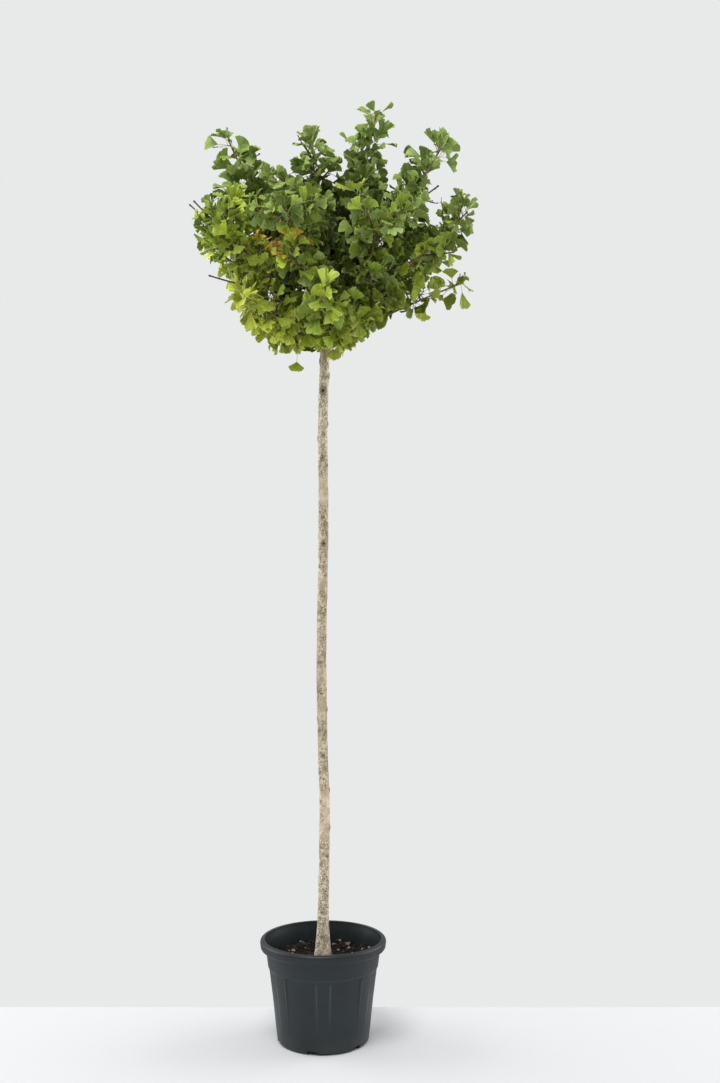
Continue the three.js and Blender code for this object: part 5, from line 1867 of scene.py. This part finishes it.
class BuildBoughs(bpy.types.Operator):
    """Builds the boughs with the leaders that grow on from them"""

    bl_idname = "ginkgo.boughs"
    bl_label = "Boughs"

    def execute(self, context):
        sizes = context.scene.ginkgo
        growth = grow_crown(sizes.crown)
        paths = np.concatenate([growth.boughs, growth.stems[:, 1:]], axis=1)
        foot = BOUGH_RADIUS[:, None]
        first = lerp(foot, BOUGH_TIP_SHARE * foot, np.linspace(0, 1, BOUGH_RINGS))
        then = lerp(BOUGH_TIP_SHARE * foot, STEM_TIP_RADIUS, np.linspace(0, 1, STEM_RINGS)[1:])
        paths, radii = with_bud(paths, np.hstack([first, then]))
        row = np.arange(radii.shape[1])[None, :, None]
        column = np.arange(BOUGH_SIDES)[None, None, :] / BOUGH_SIDES
        bough = np.arange(len(paths))[:, None, None]
        streaks, swollen = (
            cell_noise(cells * column, row / apart + BOUGH_SHIFT * bough, wrap, seed)
            for cells, apart, wrap, seed in BOUGH_NOISE
        )
        rough = 1 + BOUGH_RELIEF * (streaks - 0.5) + BOUGH_RELIEF * swollen**3
        boughs = mesh_piece("boughs", *tube_mesh(rings_about(paths, radii[..., None] * rough, BOUGH_SIDES)))
        placed(boughs, BOUGH_NODES, young_bark("bough_bark", sizes.colours.bough, GRAIN.bough))
        return {"FINISHED"}


class BuildTwigs(bpy.types.Operator):
    """Builds the shoots, the fine twigs and the leaf spurs"""

    bl_idname = "ginkgo.twigs"
    bl_label = "Twigs"

    def execute(self, context):
        sizes = context.scene.ginkgo
        growth = grow_crown(sizes.crown)
        tubes = []
        for paths, (foot, tip, sides) in ((growth.shoots, SHOOT_TUBE), (growth.twigs, TWIG_TUBE)):
            radii = lerp(foot, tip, np.linspace(0, 1, paths.shape[1])) + np.zeros((len(paths), 1))
            tubes.append(tube_mesh(rings_about(*with_bud(paths, radii), sides)))
        twigs = mesh_piece("twigs", *joined(*tubes))
        placed(twigs, FOLIAGE_NODES, young_bark("twig_bark", sizes.colours.twig, GRAIN.twig))
        paths = growth.spur_foot[:, None] + SPUR_STEPS * (growth.spur_tip - growth.spur_foot)[:, None]
        radii = SPUR_RADII + np.zeros((len(paths), 1))
        spurs = mesh_piece("leaf_spurs", *tube_mesh(rings_about(paths, radii, SPUR.sides)))
        placed(spurs, FOLIAGE_NODES, young_bark("spur_bark", sizes.colours.spur, GRAIN.spur))
        return {"FINISHED"}


class BuildLeaves(bpy.types.Operator):
    """Builds the fan leaves, a joined piece for each tint in each tier of the crown"""

    bl_idname = "ginkgo.leaves"
    bl_label = "Leaves"

    def execute(self, context):
        sizes = context.scene.ginkgo
        leaves = leaf_sprays(grow_crown(sizes.crown), sizes.crown)
        colours = sizes.colours
        skins = [leaf_skin(f"leaf_{tint}", getattr(colours, tint), colours) for tint in TINTS]
        for tier_index, tier in enumerate(TIERS):
            nodes = [node for node in FOLIAGE_NODES if node.startswith(f"foliage_{tier}_")]
            for tint_index, (tint, skin) in enumerate(zip(TINTS, skins)):
                own = chosen(leaves, (leaves.tier == tier_index) & (leaves.tint == tint_index))
                if len(own.width) == 0:
                    continue
                seed = LEAF_SEED + SEEDS_A_TIER * tier_index + tint_index
                placed(leaf_piece(f"leaves_{tier}_{tint}", own, seed), nodes, skin)
        return {"FINISHED"}


class GinkgoPanel(bpy.types.Panel):
    """Lists the sizes and the operators in the sidebar"""

    bl_idname = "VIEW3D_PT_ginkgo"
    bl_label = "Ginkgo"
    bl_space_type = "VIEW_3D"
    bl_region_type = "UI"
    bl_category = "Ginkgo"

    def draw(self, context):
        sizes = context.scene.ginkgo
        for operator in OPERATORS:
            self.layout.operator(operator.bl_idname)
        for group in (sizes.pot, sizes.stem, sizes.crown, sizes.colours, sizes.stage):
            box = self.layout.box()
            for key in group.bl_rna.properties.keys():
                if key not in ("rna_type", "name"):
                    box.prop(group, key)


OPERATORS = (BuildStage, BuildPot, BuildSoil, BuildTrunk, BuildBoughs, BuildTwigs, BuildLeaves)
GROUPS = (PotSizes, StemSizes, CrownSizes, PlantColours, StageSizes, GinkgoSizes)


def register():
    """Makes the sizes, the operators and the panel known."""
    for item in (*GROUPS, *OPERATORS, GinkgoPanel):
        bpy.utils.register_class(item)
    bpy.types.Scene.ginkgo = PointerProperty(type=GinkgoSizes)


def unregister():
    """Takes them all away again."""
    del bpy.types.Scene.ginkgo
    for item in reversed((*GROUPS, *OPERATORS, GinkgoPanel)):
        bpy.utils.unregister_class(item)


def main():
    register()
    bpy.ops.ginkgo.stage()
    bpy.ops.ginkgo.pot()
    bpy.ops.ginkgo.soil()
    bpy.ops.ginkgo.trunk()
    bpy.ops.ginkgo.boughs()
    bpy.ops.ginkgo.twigs()
    bpy.ops.ginkgo.leaves()


if __name__ == "__main__":
    main()
